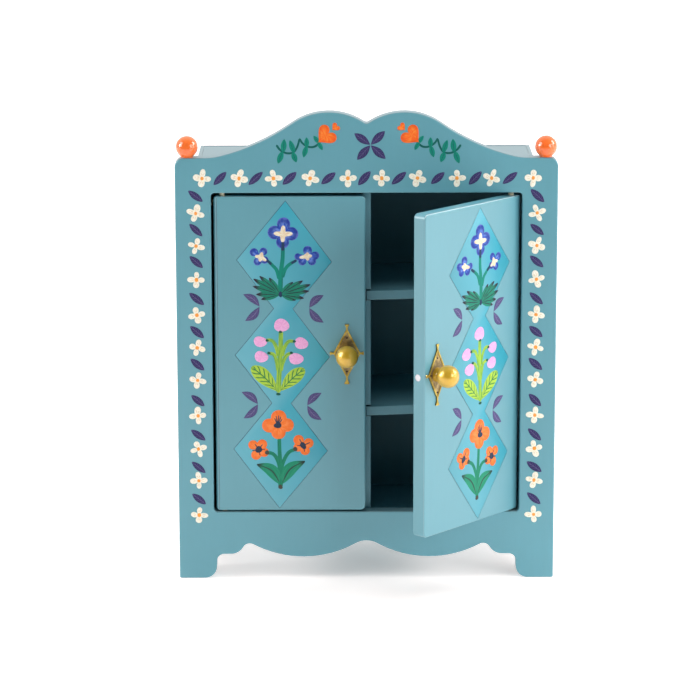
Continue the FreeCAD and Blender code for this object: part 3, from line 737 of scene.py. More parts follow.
    def heart(self, centre, size, turn, height=0.18, finish=None, rays=48):
        """A heart, pointing down when turn is 0."""
        centre = Vector(centre)
        outline = []
        for j in range(rays):
            a = 2 * math.pi * (j + 0.5) / rays
            x = 16 * math.sin(a) ** 3
            y = 13 * math.cos(a) - 5 * math.cos(2 * a) - 2 * math.cos(3 * a) - math.cos(4 * a)
            place = Vector((-x, y + 1)) * (size / 32)
            place.rotate(Matrix.Rotation(turn, 2))
            outline.append(centre + place)
        self.disc(centre, outline, height, finish)

    def lay(self, body, placing):
        """Closes the shells, lays them on the body's face and makes the piece ride on it."""
        self.mesh.transform(face_of(body) @ placing)
        bmesh.ops.remove_doubles(self.mesh, verts=self.mesh.verts, dist=1e-8)
        bmesh.ops.dissolve_degenerate(self.mesh, edges=self.mesh.edges, dist=1e-8)
        bmesh.ops.recalc_face_normals(self.mesh, faces=self.mesh.faces)
        data = bpy.data.meshes.new(self.name)
        self.mesh.to_mesh(data)
        self.mesh.free()
        for finish in self.finishes:
            data.materials.append(finish)
        ride_as_new(self.name, data, body)


def ride_as_new(name, data, body):
    """A new piece made of the mesh, which moves with the body."""
    piece = bpy.data.objects.new(name, data)
    bpy.context.scene.collection.objects.link(piece)
    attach(piece, body)


def face_of(body):
    """From a flat drawing in millimetres to a front face, as the body rests."""
    lay_flat = Matrix.Rotation(math.pi / 2, 4, "X") @ Matrix.Scale(MM, 4)
    for joint in frame["joints"]:
        if joint["child"] == body:
            pin = Matrix.Translation(joint["pos_m"])
            shut = math.radians(joint["range_deg"][0])
            return pin @ Matrix.Rotation(-shut, 4, joint["axis"]) @ pin.inverted() @ lay_flat
    return lay_flat


# ---- places of the drawings --------------------------------------------------------------

# The chain of three diamonds on each door, as it is engraved.
CHAIN_MIDDLE_Z = 152.4
CHAIN_HALF_WIDTH = 31.3
CHAIN_HALF_HEIGHT = 40.2
CHAIN_PITCH = 63.9
LEFT_CHAIN_X = -55.4
LEFT_CHAIN_LEAN = math.radians(-1.35)
RIGHT_CHAIN_X = 56.4


def chain_place(body):
    """From a drawing whose middle is the chain's to the door's face."""
    if body == "left_door":
        turn = Matrix.Rotation(LEFT_CHAIN_LEAN, 4, "Z")
        return Matrix.Translation((LEFT_CHAIN_X, CHAIN_MIDDLE_Z, 0)) @ turn
    return Matrix.Translation((RIGHT_CHAIN_X, CHAIN_MIDDLE_Z, 0))


def spray_place(body):
    """From a spray's drawing to the door's face, a little to the left of the chain.

    The right door's drawing is the left one's mirror image.
    """
    shift = Matrix.Translation((-0.4, 0.35, 0))
    mirror = Matrix.Scale(-DOORS[body], 4, (1, 0, 0))
    return chain_place(body) @ shift @ mirror


CREST_MIDDLE_X = 1.35


def side_name(body):
    return body.split("_")[0]


# ---- operators ---------------------------------------------------------------------------


class WARDROBE_OT_boards(bpy.types.Operator):
    """Sprays the boards and doors"""

    bl_idname = "wardrobe.boards"
    bl_label = "Boards and doors"

    def execute(self, context):
        settings = context.scene.wardrobe_boards
        carcass = board_finish(
            "carcass_paint", settings.carcass, settings, shine=0.38, wear_and_highlight=0.6, sheen=0.5
        )
        # The inside and back paints are darker, as painted shade inside the wardrobe.
        inside = board_finish("inside_paint_shaded", settings.inside, settings, shine=0.5, wear_and_highlight=0.5)
        back = board_finish("back_paint_shaded", settings.back, settings, shine=0.55, wear_and_highlight=0.3)
        # The front panel's edges that face up take the carcass paint as a painted sheen from above.
        front = board_finish(
            "front_paint", settings.front, settings, shine=0.4, sheen=0.5, top=settings.carcass
        )
        painted = {
            front: ["front_panel"],
            carcass: ["side_left", "side_right", "top_panel"],
            back: ["back_panel"],
            inside: ["floor_panel", "divider", "shelf_upper", "shelf_lower"],
        }
        for body in DOORS:
            side = side_name(body)
            door = board_finish(
                f"door_paint_{side}", settings.door, settings,
                shine=0.36, wear_and_highlight=0.0, sheen=0.45, body=body,
            )
            painted[door] = [f"door_{side}"]
        for finish, nodes in painted.items():
            give(finish, nodes)
        return {"FINISHED"}


def give(finish, nodes):
    """Gives CAD nodes a finish."""
    for node in nodes:
        slots = frame["nodes"][node].data.materials
        slots.clear()
        slots.append(finish)


def both(name):
    return [name.format("left"), name.format("right")]


class WARDROBE_OT_fittings(bpy.types.Operator):
    """Finishes the pins, dowels, finials, magnets, handles and nails"""

    bl_idname = "wardrobe.fittings"
    bl_label = "Fittings"

    def execute(self, context):
        pins = [*both("hinge_pin_{}_top"), *both("hinge_pin_{}_bottom"), *both("finial_dowel_{}")]
        give(wood_finish(), [*pins, "front_dowels", "floor_dowels", "hanging_rail"])
        give(lacquer_finish(), both("finial_{}"))
        for body in DOORS:
            give(brass_finish(body), [f"handle_plate_{side_name(body)}"])
        give(knob_finish(), both("knob_{}"))
        give(metal_finish("dark_nails", tint(52, 44, 48), 0.5), both("handle_nails_{}"))
        give(metal_finish("nickel", tint(196, 198, 204), 0.12), both("magnet_{}"))
        steel = metal_finish("screw_steel", tint(170, 172, 174), 0.35)
        give(steel, [*both("knob_screw_{}"), "back_nails"])
        return {"FINISHED"}


def wood_finish():
    """Bare light wood with its grain along the part."""
    material, tree, shader = new_finish("bare_beech", 0.6)
    place = object_place(tree)
    grain = noise(tree, vector_calc(tree, "MULTIPLY", place, (1, 1, 0.08)), 1400, 4)
    colours = blend_colour(tree, grain, rgba(tint(206, 186, 148)), rgba(tint(238, 228, 200)))
    feed(tree, colours, shader["Base Color"])
    raise_surface(tree, grain, shader, 0.05 * MM, 0.5)
    return material


def lacquer_finish():
    """Glossy lacquer on a turned ball."""
    material, tree, shader = new_finish("orange_lacquer", 0.3)
    place = object_place(tree)
    cloud = noise(tree, place, 120, 3)
    colours = blend_colour(tree, cloud, rgba(tint(252, 104, 38)), rgba(tint(255, 132, 62)))
    feed(tree, colours, shader["Base Color"])
    shader["Specular IOR Level"].default_value = 0.1
    shader["Coat Weight"].default_value = 1.0
    shader["Coat Roughness"].default_value = 0.04
    shader["Coat IOR"].default_value = 1.6
    raise_surface(tree, noise(tree, place, 300, 2), shader, 0.03 * MM, 0.3)
    return material


# Between these distances out of the door's face, in millimetres, a plate's recess becomes its rim.
PLATE_RIM = (0.7, 0.85)


def brass_finish(body):
    """Stamped brass: a bright rim round a duller, browner recess, and fine bumps."""
    material, tree, shader = new_finish(f"stamped_brass_{side_name(body)}", 0.4)
    place = object_place(tree)
    patches = ramp(tree, noise(tree, place, 260, 4, 0.66), 0.36, 0.62)
    recess = blend_colour(tree, patches, rgba(tint(176, 156, 108)), rgba(tint(130, 114, 82)))
    bright = blend_colour(tree, patches, rgba(tint(206, 182, 84)), rgba(tint(166, 142, 66)))
    rim = ramp(tree, out_of_face(tree, body), *PLATE_RIM)
    feed(tree, blend_colour(tree, rim, recess, bright), shader["Base Color"])
    shader["Metallic"].default_value = 0.7
    feed(tree, calc(tree, "MULTIPLY_ADD", patches, 0.2, 0.36), shader["Roughness"])
    raise_surface(tree, noise(tree, place, 1600, 3), shader, 0.04 * MM, 0.5)
    return material


def knob_finish():
    """Satin gold metal under a clear coat, with a faint cloudiness and fine bumps."""
    material, tree, shader = new_finish("satin_gold", 0.4)
    place = object_place(tree)
    cloud = noise(tree, place, 220, 4, 0.6)
    colours = blend_colour(tree, cloud, rgba(tint(202, 158, 28)), rgba(tint(222, 182, 56)))
    feed(tree, colours, shader["Base Color"])
    shader["Metallic"].default_value = 0.35
    shader["Coat Weight"].default_value = 1.0
    shader["Coat Roughness"].default_value = 0.1
    feed(tree, calc(tree, "MULTIPLY_ADD", cloud, 0.16, 0.34), shader["Roughness"])
    raise_surface(tree, noise(tree, place, 900, 3), shader, 0.03 * MM, 0.4)
    return material


def metal_finish(name, colour, roughness):
    """Plain metal with a slight cloudiness."""
    material, tree, shader = new_finish(name, roughness)
    cloud = noise(tree, object_place(tree), 600, 3)
    colours = blend_colour(tree, cloud, rgba(shaded(colour, 0.85)), rgba(shaded(colour, 1.1)))
    feed(tree, colours, shader["Base Color"])
    shader["Metallic"].default_value = 1.0
    feed(tree, calc(tree, "MULTIPLY_ADD", cloud, 0.15, roughness - 0.07), shader["Roughness"])
    return material


class WARDROBE_OT_diamonds(bpy.types.Operator):
    """Fills the engraved diamonds on the doors with turquoise"""

    bl_idname = "wardrobe.diamonds"
    bl_label = "Diamond grounds"

    inset: FloatProperty(
        name="Inset", description="From the engraved line's middle to the paint", default=0.24 * MM,
        unit="LENGTH", precision=5,
    )

    def execute(self, context):
        settings = context.scene.wardrobe_boards
        finish = ground_finish(settings)
        slant = math.hypot(CHAIN_HALF_WIDTH, CHAIN_HALF_HEIGHT) * self.inset / MM
        wide = CHAIN_HALF_WIDTH - slant / CHAIN_HALF_HEIGHT
        tall = CHAIN_HALF_HEIGHT - slant / CHAIN_HALF_WIDTH
        neck = wide * (1 - CHAIN_PITCH / 2 / tall)
        rows = [(CHAIN_PITCH + tall, 0), (CHAIN_PITCH, wide), (CHAIN_PITCH / 2, neck), (0, wide)]
        rows += [(-y, half) for y, half in reversed(rows[:-1])]
        spine = [Vector((0, y)) for y, half in rows]
        for body in DOORS:
            film = Film(f"diamond_ground_{side_name(body)}", [finish])
            film.ribbon(spine, [half for y, half in rows], 0.04, flat=True)
            film.lay(body, chain_place(body))
        return {"FINISHED"}


def ground_finish(settings):
    """Turquoise wash in soft clouds, paler to the left as a painted sheen and deeper to the right.
    """
    material, tree, shader = new_finish("turquoise_ground", 0.42)
    place = object_place(tree)
    sheen_side = axis_of(tree, brush_place(tree), "X")
    cloud = noise(tree, place, 16, 3, 0.5)
    cloud = calc(tree, "MULTIPLY_ADD", calc(tree, "SUBTRACT", cloud, 0.5), 0.7, 0.5)
    # Painted sheen: the wash pales towards the left of each chain.
    share = ramp(tree, calc(tree, "MULTIPLY_ADD", sheen_side, -0.15, cloud), 0.25, 0.75)
    colours = blend_colour(tree, share, rgba(settings.ground_sheened), rgba(settings.ground))
    feed(tree, colours, shader["Base Color"])
    raise_surface(tree, noise(tree, place, 700, 2), shader, 0.03 * MM, 0.4)
    return material


class WARDROBE_OT_blue_sprays(bpy.types.Operator):
    """Paints the blue flowers with their fans of leaves"""

    bl_idname = "wardrobe.blue_sprays"
    bl_label = "Blue sprays"

    def execute(self, context):
        paints = context.scene.wardrobe_flowers
        blue = petal_finish(
            "blue_petals", paints.blue, tint(112, 146, 220), 0.8,
            tint(28, 52, 142), 0.8, tint(98, 108, 200),
        )
        white = petal_finish("white_star", tint(244, 238, 214), tint(222, 178, 120), 0.6)
        stem = stroke_finish("blue_spray_stem", paints.green, tint(6, 104, 98), 0.7)
        fan = stroke_finish(
            "fan_leaf", tint(24, 140, 112), tint(12, 108, 92), 0.5, tint(50, 34, 52), 0.66,
            (tint(34, 46, 62), 0.9, 2.0, 0.8, 0.03, 0.2),
        )
        dark = stroke_finish("blue_spray_dark", tint(24, 62, 92), tint(52, 48, 88), 0.6)
        for body in DOORS:
            film = Film(f"blue_spray_{side_name(body)}", [stem, fan, blue, white, dark])
            film.stroke([(-0.7, 77), (-0.6, 66), (-1.6, 56), (-1.9, 40.6)], 2.4, 3.4)
            film.stroke([(-10.2, 63.4), (-7.1, 60.4), (-4.4, 57.2), (-2.6, 51)], 2.1, 2.6, 0.11)
            film.stroke([(8.2, 64), (4.2, 61.6), (1.3, 58.4), (-0.8, 52)], 2.1, 2.6, 0.1)
            for tip, width in (
                ((-9.4, 52.4), 4.0), ((-15.9, 53.4), 4.2), ((-20, 51.4), 4.2),
                ((-20.1, 46.3), 4.2), ((-17.9, 40.8), 4.0), ((-14.4, 37.5), 3.8),
                ((6.6, 49.8), 4.0), ((13.1, 50.9), 4.2), ((18.4, 48.4), 4.2),
                ((17.3, 43.9), 4.2), ((14, 38.9), 4.0), ((8.7, 37.4), 3.8),
            ):
                film.leaf((-1.7, 41.2), tip, width, 0, 0.52, 0.15, fan, 0.8)
            film.dab((-1.7, 41.2), 2.4, 4.2, 0, 0.3, dark)
            film.bloom((-0.7, 82.1), [
                ((0.3, 6.3), 4.5), ((-5.7, 0.3), 4.7), ((5.7, -0.3), 4.6), ((-0.2, -6.1), 4.4),
            ], 0.2, blue, 3)
            tips = ((0.2, 6.2), (-6.4, 0.5), (6.8, 0.6), (0, -5.8))
            film.star((-0.8, 81.4), tips, 2.5, 0.34, white)
            film.bloom((-15.9, 66.1), [
                ((-3.7, 2.9), 2.9), ((2.6, 3.6), 2.7), ((-1.2, -3.4), 2.7), ((3.6, -2.2), 2.6),
            ], 0.2, blue, 2)
            tips = ((-4.1, 0.6), (0.8, 3.4), (3.8, -2.6), (-0.8, -3.2))
            film.star((-14.9, 65.9), tips, 1.9, 0.34, white)
            film.bloom((15.4, 66.7), [
                ((0.2, 4.4), 3.1), ((5.4, 1), 2.8), ((3.3, -3), 2.8),
                ((-3.2, -3.2), 2.8), ((-6.2, 0), 2.4),
            ], 0.2, blue, 2)
            film.star((15.2, 67), ((0.6, 2.8), (-5.2, -1), (3.6, 0.6), (1, -2.8)), 1.9, 0.34, white)
            film.stroke([(-0.7, 76.6), (-0.6, 73.8), (-0.8, 70.2)], 2.0, 2.2, 0.34, dark)
            film.stroke([(-11.2, 64.2), (-9.6, 62.6), (-7.8, 61)], 1.8, 1.6, 0.34, dark)
            film.stroke([(8.6, 64.4), (6.8, 63.2), (5, 62)], 1.8, 1.6, 0.34, dark)
            film.lay(body, spray_place(body))
        return {"FINISHED"}


class WARDROBE_OT_berry_sprays(bpy.types.Operator):
    """Paints the pink berries with their pale leaves"""

    bl_idname = "wardrobe.berry_sprays"
    bl_label = "Berry sprays"

    def execute(self, context):
        paints = context.scene.wardrobe_flowers
        dark = tint(30, 92, 72)
        stem = stroke_finish("berry_stem", paints.lime, tint(58, 142, 74), 0.85)
        leaf = stroke_finish(
            "berry_leaf", paints.lime, tint(194, 220, 84), 0.5, None, NO_TIP,
            (tint(48, 128, 74), 0.95, 3.0, 0.5, 0.07, 0.1),
        )
        berry = petal_finish("pink_berry", paints.pink, tint(222, 146, 204), 0.55)
        calyx = stroke_finish("berry_calyx", dark, tint(22, 70, 64), 0.5)
        for body in DOORS:
            film = Film(f"berry_spray_{side_name(body)}", [stem, leaf, berry, calyx])
            stalk = [(-1.0, 17.6), (-0.9, 6.5), (-1.2, -3.4), (-1.7, -15.4), (-1.9, -25.8)]
            film.stroke(stalk, 3.0, 3.7)
            for points in (
                [(-10.8, 10.2), (-6.6, 9.9), (-3.8, 5.6), (-2.2, -1)],
                [(8.2, 9.8), (4.2, 9.6), (1.5, 5.2), (0, -1)],
                [(-9, 1.5), (-5.2, 0.4), (-3.2, -5), (-2.2, -11)],
                [(6.6, 1.9), (3.3, 0.4), (0.7, -4.8), (-0.6, -11)],
            ):
                film.stroke(points, 2.3, 2.7, 0.11)
            film.leaf((-2.4, -24.2), (-20.2, -7.6), 10.4, -0.03, 0.6, 0.15, leaf, 0.6)
            film.leaf((-0.6, -24), (15.4, -8.2), 9.8, 0.03, 0.6, 0.14, leaf, 0.6)
            film.dab((-1.9, -26.2), 3.0, 1.8, 0, 0.3, calyx)
            for place, wide, high in (
                ((-0.6, 20.4), 10.8, 8.6), ((-14.4, 9.1), 8.8, 7.5), ((12.6, 8.6), 9.0, 8.3),
                ((-13.6, -1.1), 9.0, 8.0), ((9.4, -1.9), 10.3, 7.6),
            ):
                film.dab(place, wide, high, 0, 0.22, berry)
            for place in ((-1.2, 16), (-9.9, 10), (8.0, 9.8), (-8.6, 1.5), (6.2, 2)):
                film.dab(place, 2.2, 1.9, 0, 0.34, calyx)
            film.lay(body, spray_place(body))
        return {"FINISHED"}


class WARDROBE_OT_poppy_sprays(bpy.types.Operator):
    """Paints the orange poppies"""

    bl_idname = "wardrobe.poppy_sprays"
    bl_label = "Poppy sprays"

    def execute(self, context):
        paints = context.scene.wardrobe_flowers
        stem = stroke_finish("poppy_stem", paints.fern, tint(20, 104, 84), 0.7)
        leaf = stroke_finish(
            "poppy_leaf", paints.fern, tint(48, 154, 120), 0.6, tint(40, 60, 56), 0.72,
            (tint(44, 52, 58), 0.85, 1.0, 0.8, 0.01, 0.16),
        )
        petal = petal_finish(
            "poppy_petals", paints.orange, tint(252, 152, 84), 0.6, tint(238, 104, 44), 0.5
        )
        dark = stroke_finish("poppy_heart", tint(46, 62, 86), tint(36, 38, 56), 0.6)
        brown = stroke_finish("poppy_joint", tint(78, 70, 62), tint(44, 84, 74), 0.6)
        for body in DOORS:
            film = Film(f"poppy_spray_{side_name(body)}", [stem, leaf, petal, dark, brown])
            film.stroke([(-0.9, -52.5), (-0.3, -66.3), (0.6, -77.8), (0.7, -91)], 2.4, 3.2)
            film.stroke([(-9.4, -66), (-4.2, -67.4), (-0.8, -73.2), (0.3, -80)], 2.4, 2.8, 0.11)
            film.stroke([(10.6, -63.4), (5.6, -66), (2, -73), (0.7, -80)], 2.4, 2.8, 0.1)
            film.leaf((0.6, -88), (-16, -74.2), 8.6, -0.16, 0.46, 0.15, leaf)
            film.leaf((1.1, -88), (17.4, -71.2), 8.8, 0.14, 0.46, 0.14, leaf)
            film.bloom((-1.6, -47.3), [
                ((0.3, 5.3), 5.3), ((-6.1, -0.4), 4.9), ((6, 0.2), 4.7), ((0.3, -5), 4.9),
            ], 0.2, petal, 2)
            film.bloom((-14.5, -63.9), [
                ((-3.6, 2.8), 3.3), ((2.6, 3.4), 3.4), ((4, -2.2), 3.3), ((-1.4, -4.2), 3.4),
            ], 0.2, petal, 2)
            film.bloom((15, -60.5), [
                ((-2.9, 3.4), 3.6), ((3.9, 1.4), 3.4), ((1.6, -3.8), 3.3), ((-3.2, -1.6), 3.1),
            ], 0.2, petal, 2)
            film.dab((-1.9, -47.4), 5.6, 4.0, 0, 0.36, dark)
            film.dab((-14.2, -64.2), 5.2, 4.4, 0.6, 0.36, dark)
            film.dab((15.2, -60.9), 3.8, 5.4, 0.5, 0.36, dark)
            for place in ((-8.6, -66.2), (10, -63.4), (0.7, -89.6)):
                film.dab(place, 3.0, 3.2, 0, 0.34, brown)
            for heart, filaments in (
                ((-1.9, -47.4), ((5.6, -0.42), (7, -0.18), (7.4, 0.08), (6.8, 0.32), (5.4, 0.6))),
                ((-14.2, -64.2), ((4.8, -0.6), (4.6, 0.6), (4.6, 1.5), (4.4, 2.9), (4.6, -1.8))),
                ((15.2, -60.9), ((5.4, 1.1), (5.6, -0.5), (4.6, 2.9), (4.4, -1.6))),
            ):
                for reach, lean in filaments:
                    self.filament(film, dark, heart, reach, lean)
            film.lay(body, spray_place(body))
        return {"FINISHED"}

    def filament(self, film, finish, start, reach, lean):
        start = Vector(start)
        end = start + Vector((math.sin(lean), math.cos(lean))) * reach
        film.stroke([start, (start + end) / 2, end], 0.75, 0.55, 0.32, finish, 4)


class WARDROBE_OT_leaf_pairs(bpy.types.Operator):
    """Paints the pairs of violet leaves beside the necks of the diamonds"""

    bl_idname = "wardrobe.leaf_pairs"
    bl_label = "Leaf pairs"

    # Where the chain is narrowest, in millimetres from its middle.
    NECK_LEVELS = (32.6, -33.4)

    def execute(self, context):
        paints = context.scene.wardrobe_flowers
        finish = stroke_finish(
            "violet_leaf", paints.violet, tint(66, 62, 108), 0.5, None, NO_TIP,
            (tint(134, 122, 166), 0.6, 2.6, 0.7, 0.04, 0.12),
        )
        for body in DOORS:
            film = Film(f"leaf_pairs_{side_name(body)}", [finish])
            for level in self.NECK_LEVELS:
                film.leaf((-15.2, level + 0.2), (-26.2, level + 8.2), 5.0, -0.1, 0.5)
                film.leaf((-15.2, level), (-24.6, level - 9.8), 5.0, 0.1, 0.5)
                film.leaf((17.4, level), (26.7, level + 8.7), 5.0, 0.1, 0.5)
                film.leaf((17.4, level - 0.2), (27.1, level - 9.8), 5.0, -0.1, 0.5)
            film.lay(body, spray_place(body))
        return {"FINISHED"}


class WARDROBE_OT_crest(bpy.types.Operator):
    """Paints the hearts, vines and cross on the crest"""

    bl_idname = "wardrobe.crest"
    bl_label = "Crest"

    def execute(self, context):
        paints = context.scene.wardrobe_flowers
        heart = petal_finish(
            "heart_orange", tint(250, 104, 30), tint(255, 156, 60), 0.7, tint(232, 72, 26), 0.5
        )
        leaf = stroke_finish(
            "vine_leaf", paints.green, tint(0, 112, 100), 0.4, None, NO_TIP,
            (tint(0, 84, 80), 0.8, 2.4, 0.6, 0.03, 0.14),
        )
        stem = stroke_finish("vine_stem", tint(0, 98, 90), tint(0, 84, 80), 0.5)
        sprig = Film("crest_vines", [stem, heart, leaf])
        for side in (-1, 1):
            self.sprig(sprig, side)
        sprig.lay("carcass", Matrix.Identity(4))
        cross = Film("crest_cross", [border_leaf_finish(paints)])
        centre = Vector((2.6, 292.9))
        for tip in ((-7.9, 300.6), (12.0, 302.1), (-6.1, 283.2), (12.4, 283.8)):
            out = (Vector(tip) - centre).normalized()
            cross.leaf(centre + out * 0.3, tip, 5.2, 0, 0.52, blunt=0.85)
        cross.lay("carcass", Matrix.Identity(4))
        return {"FINISHED"}

    def sprig(self, film, side):
        """One vine with its hearts: as drawn on the left, and mirrored about the crest's middle."""
        stem, heart, leaf = film.finishes

        def at(x, z):
            return Vector((CREST_MIDDLE_X + side * (CREST_MIDDLE_X - x), z))

        film.stroke([at(x, z) for x, z in (
            (-58.7, 293.2), (-56.2, 289.9), (-52.2, 287.7),
            (-47.8, 288.1), (-45.2, 291.4), (-43.3, 297.6),
        )], 1.5, 1.3)
        film.stroke([at(x, z) for x, z in (
            (-43.6, 297.4), (-41.6, 294.2), (-38, 291.9), (-33.8, 291.9), (-29.6, 295),
        )], 1.3, 1.5)
        for base, tip, width in (
            ((-54.2, 287.8), (-53.4, 296.9), 3.9), ((-54.4, 289.2), (-57.6, 280.8), 3.9),
            ((-47, 287.4), (-49.8, 296.2), 3.6), ((-48.2, 288.6), (-45.6, 281.6), 3.7),
            ((-38.8, 291), (-38.9, 298), 3.2), ((-38.8, 292.8), (-41, 284.8), 3.5),
            ((-30.2, 293.6), (-34.4, 299), 3.0), ((-31.6, 295.2), (-28.6, 289.6), 2.9),
        ):
            film.leaf(at(*base), at(*tip), width, 0, 0.5, 0.16, leaf, 0.75)
        film.heart(at(-26.7, 298.9), 14.0, side * 0.84, 0.2, heart)
        film.heart(at(-20.3, 304.5), 5.9, side * 0.84, 0.2, heart)


# Places along the border, in millimetres from the frame's origin.
BORDER_TOP_Z = 271.1
BORDER_SIDE_X = 111.5
TOP_FLOWERS_X = (-107.1, -83.0, -60.6, -36.7, -12.1, 9.9, 33.2, 58.9, 81.5, 108.6)
TOP_LEAVES_X = (-95.4, -72.2, -50.1, -24.8, -1.4, 21.1, 46.4, 70.8, 93.5)
SIDE_FLOWERS_Z = (248.0, 226.3, 203.8, 180.1, 158.1, 136.1, 112.0, 89.3, 67.5, 43.8)
SIDE_LEAVES_Z = (259.4, 237.0, 215.7, 191.0, 168.7, 146.8, 122.3, 98.8, 76.7, 54.9)
TOP_LEAF_SLANT = math.radians(-45)
SIDE_LEAF_SLANT = math.radians(49)


def border_places(top, side, top_turn, side_turn, unsteady, seed):
    """A mesh of loose points on the flat drawing, with how far each is turned."""
    hand = random.Random(seed)
    places = [(x, BORDER_TOP_Z, top_turn) for x in top]
    places += [(end * BORDER_SIDE_X, z, side_turn) for end in (-1, 1) for z in side]
    turns = [turn + hand.uniform(-unsteady, unsteady) for x, z, turn in places]
    data = bpy.data.meshes.new("border_places")
    data.from_pydata([(x * MM, z * MM, 0) for x, z, turn in places], [], [])
    data.attributes.new("turn", "FLOAT", "POINT").data.foreach_set("value", turns)
    return data


def border_leaf_finish(paints):
    return stroke_finish(
        "purple_leaf", paints.purple, tint(40, 36, 82), 0.5, None, NO_TIP,
        (tint(112, 104, 154), 0.6, 2.6, 0.7, 0.04, 0.1),
    )


def transformed(tree, geometry, **inputs):
    return add_node(
        tree, "GeometryNodeTransform", {"Geometry": geometry, **inputs}
    ).outputs["Geometry"]


def on_points(tree, points, shape, **inputs):
    """A copy of the shape on each point."""
    inputs = {"Points": points, "Instance": shape, **inputs}
    return add_node(tree, "GeometryNodeInstanceOnPoints", inputs).outputs["Instances"]


def realized(tree, instances):
    inputs = {"Geometry": instances}
    return add_node(tree, "GeometryNodeRealizeInstances", inputs).outputs["Geometry"]


def stored(tree, geometry, name, value, data_type="FLOAT"):
    """Keeps a value on each point of the geometry, under a name."""
    return add_node(
        tree, "GeometryNodeStoreNamedAttribute",
        {"Geometry": geometry, "Name": name, "Value": value},
        data_type=data_type, domain="POINT",
    ).outputs["Geometry"]


def named(tree, name):
    node = add_node(tree, "GeometryNodeInputNamedAttribute", {"Name": name}, data_type="FLOAT")
    return node.outputs["Attribute"]


def random_value(tree, low, high, seed, kind="FLOAT"):
    node = add_node(tree, "FunctionNodeRandomValue", data_type=kind)
    inputs = [s for s in node.inputs if s.enabled]
    feed(tree, low, inputs[0])
    feed(tree, high, inputs[1])
    feed(tree, seed, node.inputs["Seed"])
    return [s for s in node.outputs if s.enabled][0]


def turned(tree, angle):
    return vector_of(tree, 0, 0, angle)


def half_size_of(tree, given, part):
    """Half the width and length of a petal or leaf, and how far it stands out."""
    wide = times(tree, given[part + " width"], 0.5)
    long = times(tree, given[part + " length"], 0.5)
    return vector_of(tree, wide, long, given["Relief"])


def blob(tree, columns, rings, half_size, squeeze, pinch):
    """A flattened ball lying on the drawing: a dab of paint that keeps its place as "brush".

    squeeze narrows the near end, and pinch draws both ends to a point.
    """
    ball = add_node(
        tree, "GeometryNodeMeshUVSphere", {"Segments": columns, "Rings": rings, "Radius": 1.0}
    ).outputs["Mesh"]
    lying = transformed(tree, ball, Rotation=QUARTER_TURN)
    place = add_node(tree, "GeometryNodeInputPosition").outputs[0]
    dab = stored(tree, lying, "brush", place, "FLOAT_VECTOR")
    x, y, z = add_node(tree, "ShaderNodeSeparateXYZ", {0: place}).outputs
    taper = calc(tree, "MULTIPLY_ADD", y, squeeze, 1.0 - abs(squeeze))
    spare = calc(tree, "MAXIMUM", calc(tree, "SUBTRACT", 1.0, times(tree, y, y)), 0.0)
    narrowing = calc(tree, "SUBTRACT", calc(tree, "SQRT", spare), 1.0)
    pointed = calc(tree, "MULTIPLY_ADD", narrowing, pinch, 1.0)
    shaped = vector_of(tree, times(tree, taper, pointed, x), y, z)
    sized = vector_calc(tree, "MULTIPLY", shaped, half_size)
    return add_node(
        tree, "GeometryNodeSetPosition", {"Geometry": dab, "Position": sized}
    ).outputs["Geometry"]


def finish_tree(tree, shapes, made):
    """Joins (geometry, material input) pairs, realises them and stands them on the front."""
    joined = tree.nodes.new("GeometryNodeJoinGeometry")
    for geometry, material in shapes:
        inputs = {"Geometry": realized(tree, geometry)}
        smooth = add_node(tree, "GeometryNodeSetShadeSmooth", inputs).outputs["Geometry"]
        inputs = {"Geometry": smooth, "Material": material}
        painted = add_node(tree, "GeometryNodeSetMaterial", inputs).outputs["Geometry"]
        tree.links.new(painted, joined.inputs[0])
    upright = transformed(tree, joined.outputs[0], Rotation=QUARTER_TURN)
    feed(tree, upright, made["Geometry"])


